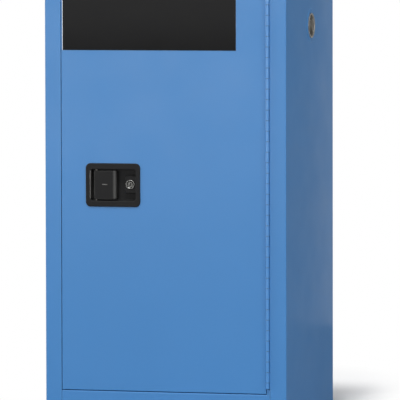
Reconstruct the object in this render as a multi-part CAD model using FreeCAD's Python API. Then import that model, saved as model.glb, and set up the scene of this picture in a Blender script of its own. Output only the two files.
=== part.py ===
"""Corrosives safety cabinet: double-walled steel, one self-latching door on a piano hinge.

Millimetres. +X is the viewer's right, +Y runs back into the cabinet, +Z is up.
The origin is on the floor, under the middle of the carcass, and the door faces -Y.
Depths called "d" are measured back from the plane of the front frame.
Each function makes the solids of one piece; the table at the end writes one STEP file per node.
"""

import FreeCAD, Part
import math
import os

Vec = FreeCAD.Vector

# ---------------------------------------------------------------- driving dimensions: carcass and door
WIDTH = 609.6  # 24 in
DEPTH = 457.2  # 18 in
HEIGHT = 1117.6  # 44 in, to the floor
SHEET = 1.2  # 18 gauge steel
AIR_SPACE = 38.1  # 1 1/2 in between the two walls
FOOT_CLEAR = 12.7  # the base stands this far off the floor with the feet screwed in
SEAM = 0.7  # each rail stops this far short of the stiles beside it, so that a fine groove shows
EDGE_BEND = 2.6  # outer radius of a folded edge
REAR_FLANGE = 20.0  # width of the side sheets' folds round the back
SUMP_DEPTH = 50.8  # 2 in leakproof sill above the inner floor

DOOR_THICK = 40.0
DOOR_GAP = 1.4  # above and below the door
DOOR_GAP_FREE = 2.5  # beside its free edge, which swings in an arc
DOOR_LIP, DOOR_LIP_DEPTH = 1.3, 8.0  # the front of the free edge stands out into that gap
DOOR_BOTTOM = 76.0
DOOR_BEND = 1.5
STOP_PLAY = 0.6  # between the closed door and what it closes against

HINGE_RADIUS = 4.45
HINGE_PIN_RADIUS = 2.5
HINGE_LEAF = 1.9  # thickness
HINGE_DEPTH = 34.0  # the leaves reach back to here
HINGE_PROUD = 2.6  # the pin's centre stands in front of the frame by this
KNUCKLE_PITCH = 25.4
KNUCKLE_GAP = 0.9
HINGE_END = 13.0  # from each end of the door to the end of the hinge
PACKING = 1.4  # steel strip between the frame and the hinge
FIRST_KNUCKLE = 15.2  # the hinge strip is cut to length part-way along a knuckle

RUNNING = 0.05  # radial clearance of a pin in its hole
FIT = 0.3  # clearance of loose parts
OVER = 5.0  # a cutting tool runs this far past what it cuts
LAP = 1.0  # solids that are joined into one overlap by this

# ---------------------------------------------------------------- levels worked out from them
WALL = 2 * SHEET + AIR_SPACE
FRONT = -DEPTH / 2
MID = SHEET / 2  # a folded sheet's middle line lies this far behind its face
MID_BEND = EDGE_BEND - MID
HALF_WIDTH = WIDTH / 2
HALF_CAVITY = HALF_WIDTH - WALL
HALF_RAIL = HALF_CAVITY - SEAM
SKIN_X = HALF_WIDTH - SHEET  # inner face of a side sheet
FLOOR_TOP = FOOT_CLEAR + WALL
CEILING = HEIGHT - WALL
CAVITY_BACK = DEPTH - WALL
BACK_SHEET = DEPTH - 2 * SHEET  # the back panel sits inside the side panels' rear flanges
SILL_LEDGE = DOOR_BOTTOM - DOOR_GAP
SILL_TOP = FLOOR_TOP + SUMP_DEPTH

PIN_X = HALF_CAVITY - PACKING - HINGE_RADIUS
DOOR_LEFT = -HALF_CAVITY + DOOR_GAP_FREE
DOOR_RIGHT = PIN_X - HINGE_RADIUS
DOOR_TOP = CEILING - DOOR_GAP
HINGE_LOW = DOOR_BOTTOM + HINGE_END
HINGE_HIGH = DOOR_TOP - HINGE_END

# ---------------------------------------------------------------- driving dimensions: latch
FLANGE_W, FLANGE_H, FLANGE_T, FLANGE_R = 138.4, 106.2, 3.2, 12.0
FLANGE_EDGE, PAN_RIM, PAN_CORE = 2.2, 1.8, 1.2  # roundings of the flange, the pan's rim and the pan's floor
LATCH_X, LATCH_Z = -131.5, 578.5  # centre of the flange
PAN_X0, PAN_X1 = -188.5, -73.3
PAN_H = 76.7
PAN_FLOOR, PAN_WALL, PAN_R = 18.0, 2.0, 6.0
FIXING_X, FIXING_Z, FIXING_R, FIXING_END = 50.0, 45.5, 2.5, 9.0  # studs, from the flange's centre
CLAMP_HALF_W, CLAMP_HALF_H, CLAMP_T = 62.0, 50.0, 2.0
LOCK_X, LOCK_Z, LOCK_FACE = -90.1, 579.9, 6.0
LOCK_BODY_R, LOCK_CORE_R, LOCK_BEZEL_R = 9.5, 6.5, 11.4
LOCK_DISH_R, LOCK_DISH_DEPTH = 9.2, 1.7  # the bezel is dished round the core
LOCK_END = 31.0
BOSS_X0, BOSS_FACE, BOSS_H = -104.0, 8.5, 44.0
BOSS_R, BOSS_ROUND = 6.0, 2.2  # corner radius, and the rounding of the boss's face

PADDLE_X, PADDLE_D = -176.0, 7.0  # pivot
PADDLE_LEFT, PADDLE_RIGHT, PADDLE_H = -179.6, -124.2, 70.0
PADDLE_FACE, PADDLE_T, PADDLE_LIP = -1.8, 3.0, 13.0
PADDLE_ROUND, PADDLE_ROLL = 2.0, 6.5  # middle radii of the bend at the pivot and of the rolled pull edge
PADDLE_PIN_R, PADDLE_BARREL_R = 2.5, 5.0
PADDLE_EDGE = 1.0  # rounding of the paddle's top and bottom edges
TAIL_END, TAIL_T, TAIL_H = 35.0, 4.0, 12.0
SPRING_Z0, SPRING_Z1 = LATCH_Z + 12.0, LATCH_Z + 24.0

BOLT_D0, BOLT_D1 = 26.5, 29.5  # the flat bolt bar lies in this layer
BOLT_H, BOLT_END = 18.0, -140.0
BOLT_PROUD = 0.8
NOSE_D0, NOSE_D1, NOSE_H, NOSE_L = 22.0, 34.0, 20.0, 26.0
ROD_D0, ROD_D1 = 21.5, 24.5  # the flat rods lie in this layer
ROD_W, ROD_TIP_R, ROD_TIP_L = 12.0, 4.5, 40.0
ROD_PROUD = 0.2
EYE_HALF = 7.5  # half the height of a rod's slotted eye
ROTOR_D0, ROTOR_D1 = 31.0, 33.5
ROTOR_X, ROTOR_Z, ROTOR_ARM, ROTOR_REACH = -225.0, 608.0, 18.0, 18.0
ROTOR_PIN_R, ROTOR_PIVOT_R = 2.5, 4.0
PIN_PLAY = 0.9  # beside the rotor's pins in their slots
ROD_D = (ROD_D0 + ROD_D1) / 2
TOP_ROD_X = ROTOR_X - ROTOR_REACH
BOTTOM_ROD_X = ROTOR_X + ROTOR_REACH

# ---------------------------------------------------------------- driving dimensions: vents, feet, shelf
VENT_D = 240.0
VENT_OFFSET = 153.2  # centre to the nearer of the top and the floor
VENT_BORE_R = 28.6  # 2 in pipe thread, minor radius
VENT_RING_R, VENT_RING_H = 42.0, 1.2
BUNG_WALL, TUBE_WALL = 2.9, 1.4
PLUG_RECESS_R, PLUG_DEPTH, PLUG_WALL = 26.0, 17.0, 2.2
PLUG_HEAD_T, GASKET_T = 2.0, 1.0
PLUG_PROUD = 2.6  # the plug's head stands out from the side by this

FOOT_X, FOOT_INSET = 255.0, 50.0
FOOT_STUD_R, FOOT_STUD_TOP = 5.0, 46.0
FOOT_PAD_R, FOOT_PAD_T, FOOT_RIM_T = 20.0, 8.0, 3.0
FOOT_SOCKET = 4.0  # the stud's lower end turns in the pad at this height

SHELF_Z = 558.8  # underside of the shelf
SHELF_HALF, SHELF_D0, SHELF_D1, SHELF_LIP = 257.0, 58.0, 410.0, 26.0
SHELF_TRAY_H, FLOOR_TRAY_H, TRAY_WALL, TRAY_CORNER = 38.0, 46.0, 3.0, 14.0
STANDARD_D = (90.0, 375.0)
STANDARD_Z0, STANDARD_Z1 = 130.0, 1040.0
STANDARD_W, STANDARD_T = 16.0, 2.4
SLOT_PITCH, SLOT_W, SLOT_H = 25.4, 8.0, 3.5

SIGN_X0, SIGN_X1, SIGN_Z0, SIGN_Z1, SIGN_T = -260.3, 179.8, 907.1, 1057.1, 0.6
BOND_D, BOND_Z, BOND_R, BOND_L = 400.0, 62.0, 3.0, 12.0  # the stud for the bonding lead


# ---------------------------------------------------------------- helpers
def at(x, d, z):
    """A point given by its depth behind the front frame."""
    return Vec(x, FRONT + d, z)


def block(x0, x1, d0, d1, z0, z1):
    """A box between two X, two depths and two heights."""
    return Part.makeBox(x1 - x0, d1 - d0, z1 - z0, at(x0, d0, z0))


def rod_x(radius, x0, x1, d, z):
    """A cylinder along X."""
    return Part.makeCylinder(radius, x1 - x0, at(x0, d, z), Vec(1, 0, 0))


def rod_out(radius, near, far, hand, d, z):
    """A cylinder along X between two distances from the middle, on the right side if hand is +1."""
    return rod_x(radius, *sorted((hand * near, hand * far)), d, z)


def rod_d(radius, d0, d1, x, z):
    """A cylinder running back into the cabinet."""
    return Part.makeCylinder(radius, d1 - d0, at(x, d0, z), Vec(0, 1, 0))


def rod_z(radius, z0, z1, x, d):
    """An upright cylinder."""
    return Part.makeCylinder(radius, z1 - z0, at(x, d, z0), Vec(0, 0, 1))


def hexagon(flats, thickness, centre, axis):
    """A hexagonal prism from centre along axis, with the distance across flats given."""
    radius = flats / math.sqrt(3)
    angles = [math.radians(60 * i) for i in range(7)]
    corners = [Vec(radius * math.cos(a), radius * math.sin(a), 0) for a in angles]
    prism = Part.Face(Part.makePolygon(corners)).extrude(Vec(0, 0, thickness))
    prism.Placement = FreeCAD.Placement(centre, FreeCAD.Rotation(Vec(0, 0, 1), axis))
    return prism


def cut(shape, *tools):
    """The shape with all the tools taken away."""
    for tool in tools:
        shape = shape.cut(tool)
    return shape


def join(shape, *others):
    """The shapes welded into one solid, with no seams left between flush faces."""
    for other in others:
        shape = shape.fuse(other)
    return shape.removeSplitter()


def side_of_sheet(points, shift, bend):
    """One side of a folded sheet: its line moved sideways, with three points of an arc at each corner."""
    flat = [Vec(p[0], p[1], 0) for p in points]
    runs = [(b - a).normalize() for a, b in zip(flat, flat[1:])]
    left = [Vec(-r.y, r.x, 0) for r in runs]
    stops = [(flat[0] + left[0] * shift,)]
    for i in range(1, len(flat) - 1):
        middle_radius = bend[i - 1] if isinstance(bend, tuple) else bend
        turn = math.atan2(runs[i - 1].cross(runs[i]).z, runs[i - 1].dot(runs[i]))
        radius = middle_radius - shift * math.copysign(1, turn)
        corner = flat[i] + (left[i - 1] + left[i]) * (shift / (1 + runs[i - 1].dot(runs[i])))
        reach = radius * abs(math.tan(turn / 2))
        start, end = corner - runs[i - 1] * reach, corner + runs[i] * reach
        bisector = (runs[i] - runs[i - 1]).normalize()
        middle = corner + bisector * (radius / math.cos(turn / 2) - radius)
        stops.append((start, middle, end))
    stops.append((flat[-1] + left[-1] * shift,))
    return stops


def folded(points, thickness, bend, plane, start, length):
    """A sheet folded along a middle line of (u, v) points, bent to a middle radius, and drawn out by length.

    plane "xd" is a plan section drawn up along Z; plane "dz" is an upright section drawn out along X.
    """
    def place(p):
        return at(p.x, p.y, start) if plane == "xd" else at(start, p.x, p.y)

    def edges(stops):
        made, last = [], stops[0][0]
        for stop in stops[1:]:
            if (stop[0] - last).Length > 1e-6:
                made.append(Part.LineSegment(place(last), place(stop[0])).toShape())
            if len(stop) == 3:
                made.append(Part.Arc(place(stop[0]), place(stop[1]), place(stop[2])).toShape())
            last = stop[-1]
        return made

    one = side_of_sheet(points, thickness / 2, bend)
    two = side_of_sheet(points, -thickness / 2, bend)
    caps = [
        Part.LineSegment(place(one[0][0]), place(two[0][0])).toShape(),
        Part.LineSegment(place(one[-1][-1]), place(two[-1][-1])).toShape(),
    ]
    outline = Part.Wire(Part.__sortEdges__(edges(one) + edges(two) + caps))
    way = Vec(0, 0, length) if plane == "xd" else Vec(length, 0, 0)
    return Part.Face(outline).extrude(way)


def rounded_plate(x0, x1, z0, z1, d0, d1, radius):
    """A plate facing the viewer with rounded corners."""
    plate = block(x0, x1, d0, d1, z0, z1)
    corners = [e for e in plate.Edges if abs(e.tangentAt(e.FirstParameter).y) > 0.9]
    return plate.makeFillet(radius, corners)


def edges_at_depth(shape, d):
    """Every edge of the shape that lies wholly in the plane at depth d."""
    return [e for e in shape.Edges if all(abs(v.Y - (FRONT + d)) < 1e-4 for v in e.Vertexes)]


# ---------------------------------------------------------------- outer walls
SILL_STAND = DOOR_THICK + STOP_PLAY + MID  # depth of the sill's upstand behind the door
SILL_CAP = 10.0  # from the upstand to the sump's front wall
SILL_BACK = SILL_STAND + SILL_CAP
TOP_FOLD = 60.0  # the strip that makes the top rail reaches back to here
TUBE_PLAY, STRIKE_PLAY = 0.1, 2.0
TUBE_HOLE_R = VENT_BORE_R + BUNG_WALL + TUBE_WALL + TUBE_PLAY
STRIKE_R = ROD_TIP_R + STRIKE_PLAY  # hole that a rod enters
FILLER_GAP = 1.5  # between a filler, the door's edge and the end of the hinge
FILLER_ROOT = 1.0  # a filler starts this far above the line where the rail begins to bend


def vent_centre(hand):
    """Depth and height of a vent: high on the right side, low on the left."""
    return VENT_D, (HEIGHT - VENT_OFFSET if hand > 0 else VENT_OFFSET)


def side_panel(hand):
    """One side of the carcass with its front stile and its rear flange; hand is +1 on the right."""
    line = [
        (HALF_CAVITY, MID),
        (HALF_WIDTH - MID, MID),
        (HALF_WIDTH - MID, DEPTH - MID),
        (HALF_WIDTH - REAR_FLANGE, DEPTH - MID),
    ]
    line = [(hand * x, d) for x, d in line]
    sheet = folded(line, SHEET, MID_BEND, "xd", FOOT_CLEAR, HEIGHT - FOOT_CLEAR)
    sheet = sheet.cut(rod_out(TUBE_HOLE_R, SKIN_X - OVER, HALF_WIDTH + OVER, hand, *vent_centre(hand)))
    if hand < 0:
        sheet = sheet.cut(rod_out(BOND_R + FIT, SKIN_X - OVER, HALF_WIDTH + OVER, hand, BOND_D, BOND_Z))
    return sheet


def between_sides(z):
    """A sheet lying between the side panels, its front corners rounded to fit inside their folds."""
    plate = block(-SKIN_X, SKIN_X, SHEET, BACK_SHEET, z, z + SHEET)
    corners = [e for e in plate.Edges if abs(e.tangentAt(e.FirstParameter).z) > 0.9 and e.Vertexes[0].Y < 0]
    return plate.makeFillet(EDGE_BEND - SHEET, corners)


def hinge_filler(z0, z1, rail):
    """The small plate that closes the frame between a rail and the end of the hinge."""
    return block(DOOR_RIGHT + FILLER_GAP, HALF_RAIL, 0, SHEET, z0, z1).cut(rail)


def top_panel():
    """The outer top, whose front edge folds down to make the top rail, and the filler below it."""
    rail = [(MID, CEILING), (MID, HEIGHT - MID), (TOP_FOLD, HEIGHT - MID)]
    front = folded(rail, SHEET, MID_BEND, "dz", -HALF_RAIL, 2 * HALF_RAIL)
    room = block(-HALF_CAVITY, HALF_CAVITY, 0, TOP_FOLD - LAP, HEIGHT - OVER, HEIGHT + OVER)
    whole = join(front, cut(between_sides(HEIGHT - SHEET), room))
    return [whole, hinge_filler(HINGE_HIGH + FILLER_GAP, CEILING, whole)]


def back_panel():
    """The outer back, which butts against the inside of the rear flanges."""
    half = HALF_WIDTH - EDGE_BEND
    return block(-half, half, BACK_SHEET, BACK_SHEET + SHEET, FOOT_CLEAR, HEIGHT)


def foot_places():
    """The four feet: name, X and depth."""
    return [(f"{end}_{side}", s * FOOT_X, d)
            for end, d in (("front", FOOT_INSET), ("rear", DEPTH - FOOT_INSET))
            for side, s in (("left", -1), ("right", 1))]


def base_panel():
    """The outer bottom, with a clearance hole over each foot."""
    radius = FOOT_STUD_R + 2 * FIT
    holes = [rod_z(radius, FOOT_CLEAR - OVER, FOOT_CLEAR + OVER, x, d) for _, x, d in foot_places()]
    return cut(between_sides(FOOT_CLEAR), *holes)


def door_sill():
    """The sill, one folded strip: bottom rail, ledge, upstand behind the door and sump front; and its filler."""
    line = [
        (MID, FOOT_CLEAR),
        (MID, SILL_LEDGE - MID),
        (SILL_STAND, SILL_LEDGE - MID),
        (SILL_STAND, SILL_TOP - MID),
        (SILL_BACK, SILL_TOP - MID),
        (SILL_BACK, FLOOR_TOP),
    ]
    strip = folded(line, SHEET, MID_BEND, "dz", -HALF_RAIL, 2 * HALF_RAIL)
    strip = strip.cut(rod_z(STRIKE_R, SILL_LEDGE - OVER, SILL_LEDGE + OVER, BOTTOM_ROD_X, ROD_D))
    return [strip, hinge_filler(SILL_LEDGE - EDGE_BEND + FILLER_ROOT, HINGE_LOW - FILLER_GAP, strip)]


# ---------------------------------------------------------------- inner walls
BOLT_SLOT_D0, BOLT_SLOT_D1, BOLT_SLOT_HALF = 18.0, 37.0, 12.5  # slot in the liner that the centre bolt enters
STOP_D = DOOR_THICK + STOP_PLAY
STOP_W, STOP_LEG = 16.0, 14.0
STRIKE_T, STRIKE_HALF, STRIKE_D0, STRIKE_D1 = 2.0, 18.0, 8.0, 38.0
CENTRE_STRIKE_HALF, CENTRE_STRIKE_D0, CENTRE_STRIKE_D1 = 35.0, 10.0, 45.0


def bolt_slot(x0, x1):
    """The room of the centre bolt's slot between two X."""
    return block(x0, x1, BOLT_SLOT_D0, BOLT_SLOT_D1, LATCH_Z - BOLT_SLOT_HALF, LATCH_Z + BOLT_SLOT_HALF)


def liner_side(hand):
    """One inner side wall. The left one has the slot that the centre bolt enters."""
    x0, x1 = sorted((hand * HALF_CAVITY, hand * (HALF_CAVITY + SHEET)))
    sheet = block(x0, x1, SHEET, CAVITY_BACK + SHEET, FLOOR_TOP - SHEET, CEILING + SHEET)
    sheet = sheet.cut(rod_x(VENT_BORE_R, x0 - OVER, x1 + OVER, *vent_centre(hand)))
    return sheet if hand > 0 else sheet.cut(bolt_slot(x0 - OVER, x1 + OVER))


def liner_top():
    """The inner top, with the hole that the top rod enters."""
    sheet = block(-HALF_CAVITY, HALF_CAVITY, SHEET, CAVITY_BACK + SHEET, CEILING, CEILING + SHEET)
    return sheet.cut(rod_z(STRIKE_R, CEILING - OVER, CEILING + OVER, TOP_ROD_X, ROD_D))


def liner_back():
    """The inner back wall."""
    return block(-HALF_CAVITY, HALF_CAVITY, CAVITY_BACK, CAVITY_BACK + SHEET, FLOOR_TOP - SHEET, CEILING)


def liner_floor():
    """The inner floor, which is the bottom of the sump."""
    return block(-HALF_CAVITY, HALF_CAVITY, SILL_BACK - MID, CAVITY_BACK, FLOOR_TOP - SHEET, FLOOR_TOP)


def door_stops():
    """Three angle strips that the closed door meets: one up each side and one across the top."""
    edge, leg = HALF_CAVITY - MID, STOP_D + STOP_LEG
    line = [(HALF_CAVITY - STOP_W, STOP_D + MID), (edge, STOP_D + MID), (edge, leg)]
    strips = []
    for hand in (1, -1):
        mirrored = [(hand * x, d) for x, d in line]
        strips.append(folded(mirrored, SHEET, MID_BEND, "xd", SILL_TOP, CEILING - SILL_TOP))
    inside = HALF_CAVITY - STOP_W - FIT
    across = [(STOP_D + MID, CEILING - STOP_W), (STOP_D + MID, CEILING - MID), (leg, CEILING - MID)]
    strips.append(folded(across, SHEET, MID_BEND, "dz", -inside, 2 * inside))
    return strips


def strike_plates():
    """Reinforcing plates in the air space behind the bolt slot and the two rod holes."""
    back = -HALF_CAVITY - SHEET
    centre = block(back - STRIKE_T, back, CENTRE_STRIKE_D0, CENTRE_STRIKE_D1,
                   LATCH_Z - CENTRE_STRIKE_HALF, LATCH_Z + CENTRE_STRIKE_HALF)
    plates = [centre.cut(bolt_slot(back - STRIKE_T - OVER, back + OVER))]
    for x, z in ((TOP_ROD_X, CEILING + SHEET), (BOTTOM_ROD_X, SILL_LEDGE - SHEET - STRIKE_T)):
        plate = block(x - STRIKE_HALF, x + STRIKE_HALF, STRIKE_D0, STRIKE_D1, z, z + STRIKE_T)
        plates.append(plate.cut(rod_z(STRIKE_R, z - OVER, z + OVER, x, ROD_D)))
    return plates


# ---------------------------------------------------------------- shelf and trays
SLOT_DROP = 4.0  # from the shelf down to the middle of the slot that its clips hook into
SLOT_MARGIN = 10.0  # no slot's middle lies nearer to an end
CLIP_W, CLIP_T, CLIP_REACH, CLIP_DROP = 7.0, 1.6, 16.0, 20.0
SHELF_CORNER = 2.5
SHELF_TRAY_PLAY, FLOOR_TRAY_PLAY = 2.0, 4.0


def slot_levels():
    """Heights of the slots in a shelf standard; one lies just below the shelf, for the clips."""
    level = SHELF_Z - SLOT_DROP
    while level - SLOT_PITCH > STANDARD_Z0 + SLOT_MARGIN:
        level -= SLOT_PITCH
    levels = []
    while level < STANDARD_Z1 - SLOT_MARGIN:
        levels.append(level)
        level += SLOT_PITCH
    return levels


def shelf_standards():
    """Four slotted strips welded to the inner sides."""
    strips = []
    for hand in (1, -1):
        x0, x1 = sorted((hand * (HALF_CAVITY - STANDARD_T), hand * HALF_CAVITY))
        for d in STANDARD_D:
            strip = block(x0, x1, d - STANDARD_W / 2, d + STANDARD_W / 2, STANDARD_Z0, STANDARD_Z1)
            d0, d1 = d - SLOT_W / 2, d + SLOT_W / 2
            slots = [block(x0 - OVER, x1 + OVER, d0, d1, z - SLOT_H / 2, z + SLOT_H / 2)
                     for z in slot_levels()]
            strips.append(strip.cut(Part.makeCompound(slots)))
    return strips


def shelf_clips():
    """Four braced clips that hook into the standards and carry the shelf's corners."""
    wall = HALF_CAVITY - STANDARD_T - FIT
    section = ((wall, 0), (wall - CLIP_REACH, 0), (wall - CLIP_REACH, -CLIP_T), (wall - CLIP_T, -CLIP_REACH),
               (wall - CLIP_T, -CLIP_DROP), (wall, -CLIP_DROP), (wall, 0))
    clips = []
    for hand in (1, -1):
        for d in STANDARD_D:
            corners = [at(hand * x, d - CLIP_W / 2, SHELF_Z + z) for x, z in section]
            clips.append(Part.Face(Part.makePolygon(corners)).extrude(Vec(0, CLIP_W, 0)))
    return clips


def open_tray(half, d0, d1, z0, height, wall, corner):
    """A tray with four upright walls and rounded corners, open at the top."""
    def solid(inset, low, high):
        body = block(-half + inset, half - inset, d0 + inset, d1 - inset, low, high)
        upright = [e for e in body.Edges if abs(e.tangentAt(e.FirstParameter).z) > 0.9]
        return body.makeFillet(corner - inset, upright)

    return solid(0, z0, z0 + height).cut(solid(wall, z0 + wall, z0 + height + OVER))


def shelf():
    """The adjustable shelf, a shallow steel pan whose upturned edges hold a spill."""
    return open_tray(SHELF_HALF, SHELF_D0, SHELF_D1, SHELF_Z, SHELF_LIP, SHEET, SHELF_CORNER)


def shelf_tray():
    """The polyethylene tray that lies in the shelf."""
    inset = SHEET + SHELF_TRAY_PLAY
    return open_tray(SHELF_HALF - inset, SHELF_D0 + inset, SHELF_D1 - inset, SHELF_Z + SHEET, SHELF_TRAY_H,
                     TRAY_WALL, TRAY_CORNER)


def floor_tray():
    """The polyethylene tray that lies in the sump."""
    inset = FLOOR_TRAY_PLAY
    return open_tray(HALF_CAVITY - inset, SILL_BACK + inset, CAVITY_BACK - inset, FLOOR_TOP, FLOOR_TRAY_H,
                     TRAY_WALL, TRAY_CORNER)


# ---------------------------------------------------------------- vents
TUBE_R = VENT_BORE_R + BUNG_WALL
RING_SLOPE = 2.0  # width of the raised ring's sloping outer edge
RING_BEVEL = 0.8  # of the ring's inner edge
BUNG_L, BUNG_BEVEL = 20.0, 0.4
PLUG_HEAD = HALF_WIDTH + PLUG_PROUD - PLUG_HEAD_T  # underside of the plug's head, where the gasket ends
BUNG_RIM = PLUG_HEAD - GASKET_T
PLUG_HEAD_R = VENT_BORE_R + 2.0
PLUG_EDGE, PLUG_MOUTH, PLUG_TAPER = 0.8, 1.2, 1.5  # bevel of the head, depth and width of the mouth's slope
LUG_HALF, LUG_NEAR, LUG_FACE = 5.0, 8.0, 6.0  # wrench lugs: half width, from the axis, and below the head
ARRESTER_R, ARRESTER_RIM, ARRESTER_HOLE = 34.0, 2.4, 20.0
ARRESTER_STEP, SCREEN_T = 29.0, 1.2
MESH_PITCH, MESH_HOLE_R, MESH_REACH = 6.0, 2.0, 17.5


def turned_x(profile, hand):
    """A body turned about a vent's axis; profile lists (distance from the cabinet's middle, radius)."""
    d, z = vent_centre(hand)
    corners = [at(hand * x, d, z + r) for x, r in profile]
    face = Part.Face(Part.makePolygon(corners + corners[:1]))
    return face.revolve(at(0, d, z), Vec(1, 0, 0), 360)


def vent_tubes():
    """A steel tube through each double wall, its outer end spread into a raised ring on the side panel."""
    inner, top = HALF_CAVITY + SHEET, HALF_WIDTH + VENT_RING_H
    profile = [
        (inner, TUBE_R), (top - RING_BEVEL, TUBE_R), (top, TUBE_R + RING_BEVEL),
        (top, VENT_RING_R - RING_SLOPE), (HALF_WIDTH, VENT_RING_R),
        (HALF_WIDTH, TUBE_R + TUBE_WALL), (inner, TUBE_R + TUBE_WALL),
    ]
    return [turned_x(profile, hand) for hand in (1, -1)]


def vent_bungs():
    """The threaded ring that is pressed into the outer end of each tube."""
    profile = [
        (BUNG_RIM - BUNG_L, VENT_BORE_R), (BUNG_RIM, VENT_BORE_R), (BUNG_RIM, TUBE_R - BUNG_BEVEL),
        (BUNG_RIM - BUNG_BEVEL, TUBE_R), (BUNG_RIM - BUNG_L, TUBE_R),
    ]
    return [turned_x(profile, hand) for hand in (1, -1)]


def vent_gasket(hand):
    """The rubber ring between a bung's rim and the plug's head."""
    hole = VENT_BORE_R + FIT
    profile = [(BUNG_RIM, hole), (PLUG_HEAD, hole), (PLUG_HEAD, PLUG_HEAD_R), (BUNG_RIM, PLUG_HEAD_R)]
    return turned_x(profile, hand)


def vent_plug(hand):
    """A cup-shaped screw plug, with two lugs across its recess for the wrench."""
    body = VENT_BORE_R - FIT
    face = PLUG_HEAD + PLUG_HEAD_T
    floor = PLUG_HEAD - PLUG_DEPTH
    end = floor - PLUG_WALL
    profile = [
        (PLUG_HEAD, body), (PLUG_HEAD, PLUG_HEAD_R),
        (face - PLUG_EDGE, PLUG_HEAD_R), (face, PLUG_HEAD_R - PLUG_EDGE),
        (face, PLUG_RECESS_R + PLUG_TAPER), (face - PLUG_MOUTH, PLUG_RECESS_R),
        (floor, PLUG_RECESS_R - PLUG_TAPER), (floor, 0),
        (end, 0), (end, body - LAP), (end + LAP, body),
    ]
    d, z = vent_centre(hand)
    core = rod_out(PLUG_RECESS_R, floor - LAP, PLUG_HEAD - LUG_FACE, hand, d, z)
    lugs = []
    for s in (1, -1):
        near, far = sorted((z + s * LUG_NEAR, z + s * PLUG_RECESS_R))
        lugs.append(core.common(block(-HALF_WIDTH, HALF_WIDTH, d - LUG_HALF, d + LUG_HALF, near, far)))
    return join(turned_x(profile, hand), *lugs)


def flame_arresters():
    """A perforated disc in a ring, screwed over the inner end of each vent."""
    rim, face = HALF_CAVITY - ARRESTER_RIM, HALF_CAVITY - SCREEN_T
    profile = [
        (HALF_CAVITY, ARRESTER_HOLE), (rim, ARRESTER_HOLE), (rim, ARRESTER_STEP), (face, ARRESTER_R),
        (HALF_CAVITY, ARRESTER_R),
    ]
    rows = int(MESH_REACH / MESH_PITCH) + 2
    discs = []
    for hand in (1, -1):
        d, z = vent_centre(hand)
        screen = rod_out(ARRESTER_HOLE + OVER, HALF_CAVITY, face, hand, d, z)
        holes = []
        for row in range(-rows, rows + 1):
            for column in range(-rows, rows + 1):
                back = (column + 0.5 * (row % 2)) * MESH_PITCH
                up = row * MESH_PITCH * math.sqrt(3) / 2
                if math.hypot(back, up) < MESH_REACH:
                    holes.append(rod_out(MESH_HOLE_R, rim - OVER, HALF_CAVITY + OVER, hand, d + back, z + up))
        discs.append(join(turned_x(profile, hand), screen).cut(Part.makeCompound(holes)))
    return discs


# ---------------------------------------------------------------- hinge
LEAF_PLAY = 1.0  # between a knuckle and the notch in the other leaf
SHORTEST_KNUCKLE = 3.0
PEEN = 0.8  # the pin's ends stand out of the hinge by this
PACKING_D = 1.0  # the packing starts this far behind the frame's face


def knuckle_spans(first):
    """Heights of every other knuckle, starting with the lowest if first is 0 and with the next if it is 1."""
    ends = [HINGE_LOW]
    level = HINGE_LOW + FIRST_KNUCKLE
    while level < HINGE_HIGH - SHORTEST_KNUCKLE:
        ends.append(level)
        level += KNUCKLE_PITCH
    ends.append(HINGE_HIGH)
    spans = list(zip(ends, ends[1:]))
    return [(lo + KNUCKLE_GAP / 2, hi - KNUCKLE_GAP / 2) for lo, hi in spans[first::2]]


def hinge_leaf(on_door):
    """One leaf of the piano hinge: a flat strip notched between the knuckles that it curls into."""
    side = -1 if on_door else 1
    outer = PIN_X + side * HINGE_RADIUS
    x0, x1 = sorted((outer, outer - side * HINGE_LEAF))
    notch_end = HINGE_RADIUS - HINGE_PROUD + LEAF_PLAY
    strip = block(x0, x1, notch_end, HINGE_DEPTH, HINGE_LOW, HINGE_HIGH)
    pieces = []
    for lo, hi in knuckle_spans(0 if on_door else 1):
        barrel = rod_z(HINGE_RADIUS, lo, hi, PIN_X, -HINGE_PROUD)
        tongue = block(x0, x1, -HINGE_PROUD, notch_end + LAP, lo, hi)
        bore = rod_z(HINGE_PIN_RADIUS + RUNNING, lo - OVER, hi + OVER, PIN_X, -HINGE_PROUD)
        pieces.append(barrel.fuse(tongue).cut(bore))
    return strip.multiFuse(pieces).removeSplitter()


def hinge_packing():
    """The strip between the hinge's frame leaf and the frame."""
    return block(HALF_CAVITY - PACKING, HALF_CAVITY, PACKING_D, HINGE_DEPTH, HINGE_LOW, HINGE_HIGH)


def hinge_pin():
    """The pin that runs the length of the piano hinge, its ends peened over slightly."""
    return rod_z(HINGE_PIN_RADIUS, HINGE_LOW - PEEN, HINGE_HIGH + PEEN, PIN_X, -HINGE_PROUD)


# ---------------------------------------------------------------- door
LATCH_PLAY = 0.8  # between the latch's pan and the door's opening
NOSE_PLAY = 1.0  # round the bolt's nose in the door's edge
ROD_PLAY = 0.5  # round a rod's tip in the door's edge
COVER_X0, COVER_X1, COVER_HALF = -201.0, -70.0, 75.0
COVER_R, COVER_SCREW_INSET, COVER_LAP = 5.0, 7.0, 13.0  # the cover laps over the edge of its opening
SCREW_R, SCREW_HEAD_R, SCREW_HEAD_T, SCREW_L = 1.75, 3.4, 1.6, 6.0
SCREW_SLOT_W, SCREW_SLOT_D = 0.8, 0.7


def pan_room(grow, d0, d1):
    """The outline of the latch's pan, grown on all sides, between two depths."""
    return rounded_plate(PAN_X0 - grow, PAN_X1 + grow, LATCH_Z - PAN_H / 2 - grow, LATCH_Z + PAN_H / 2 + grow,
                         d0, d1, PAN_R + grow)


def fixing_places():
    """The four studs cast on the back of the latch's flange."""
    return [(LATCH_X + sx * FIXING_X, LATCH_Z + sz * FIXING_Z) for sx in (1, -1) for sz in (1, -1)]


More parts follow.
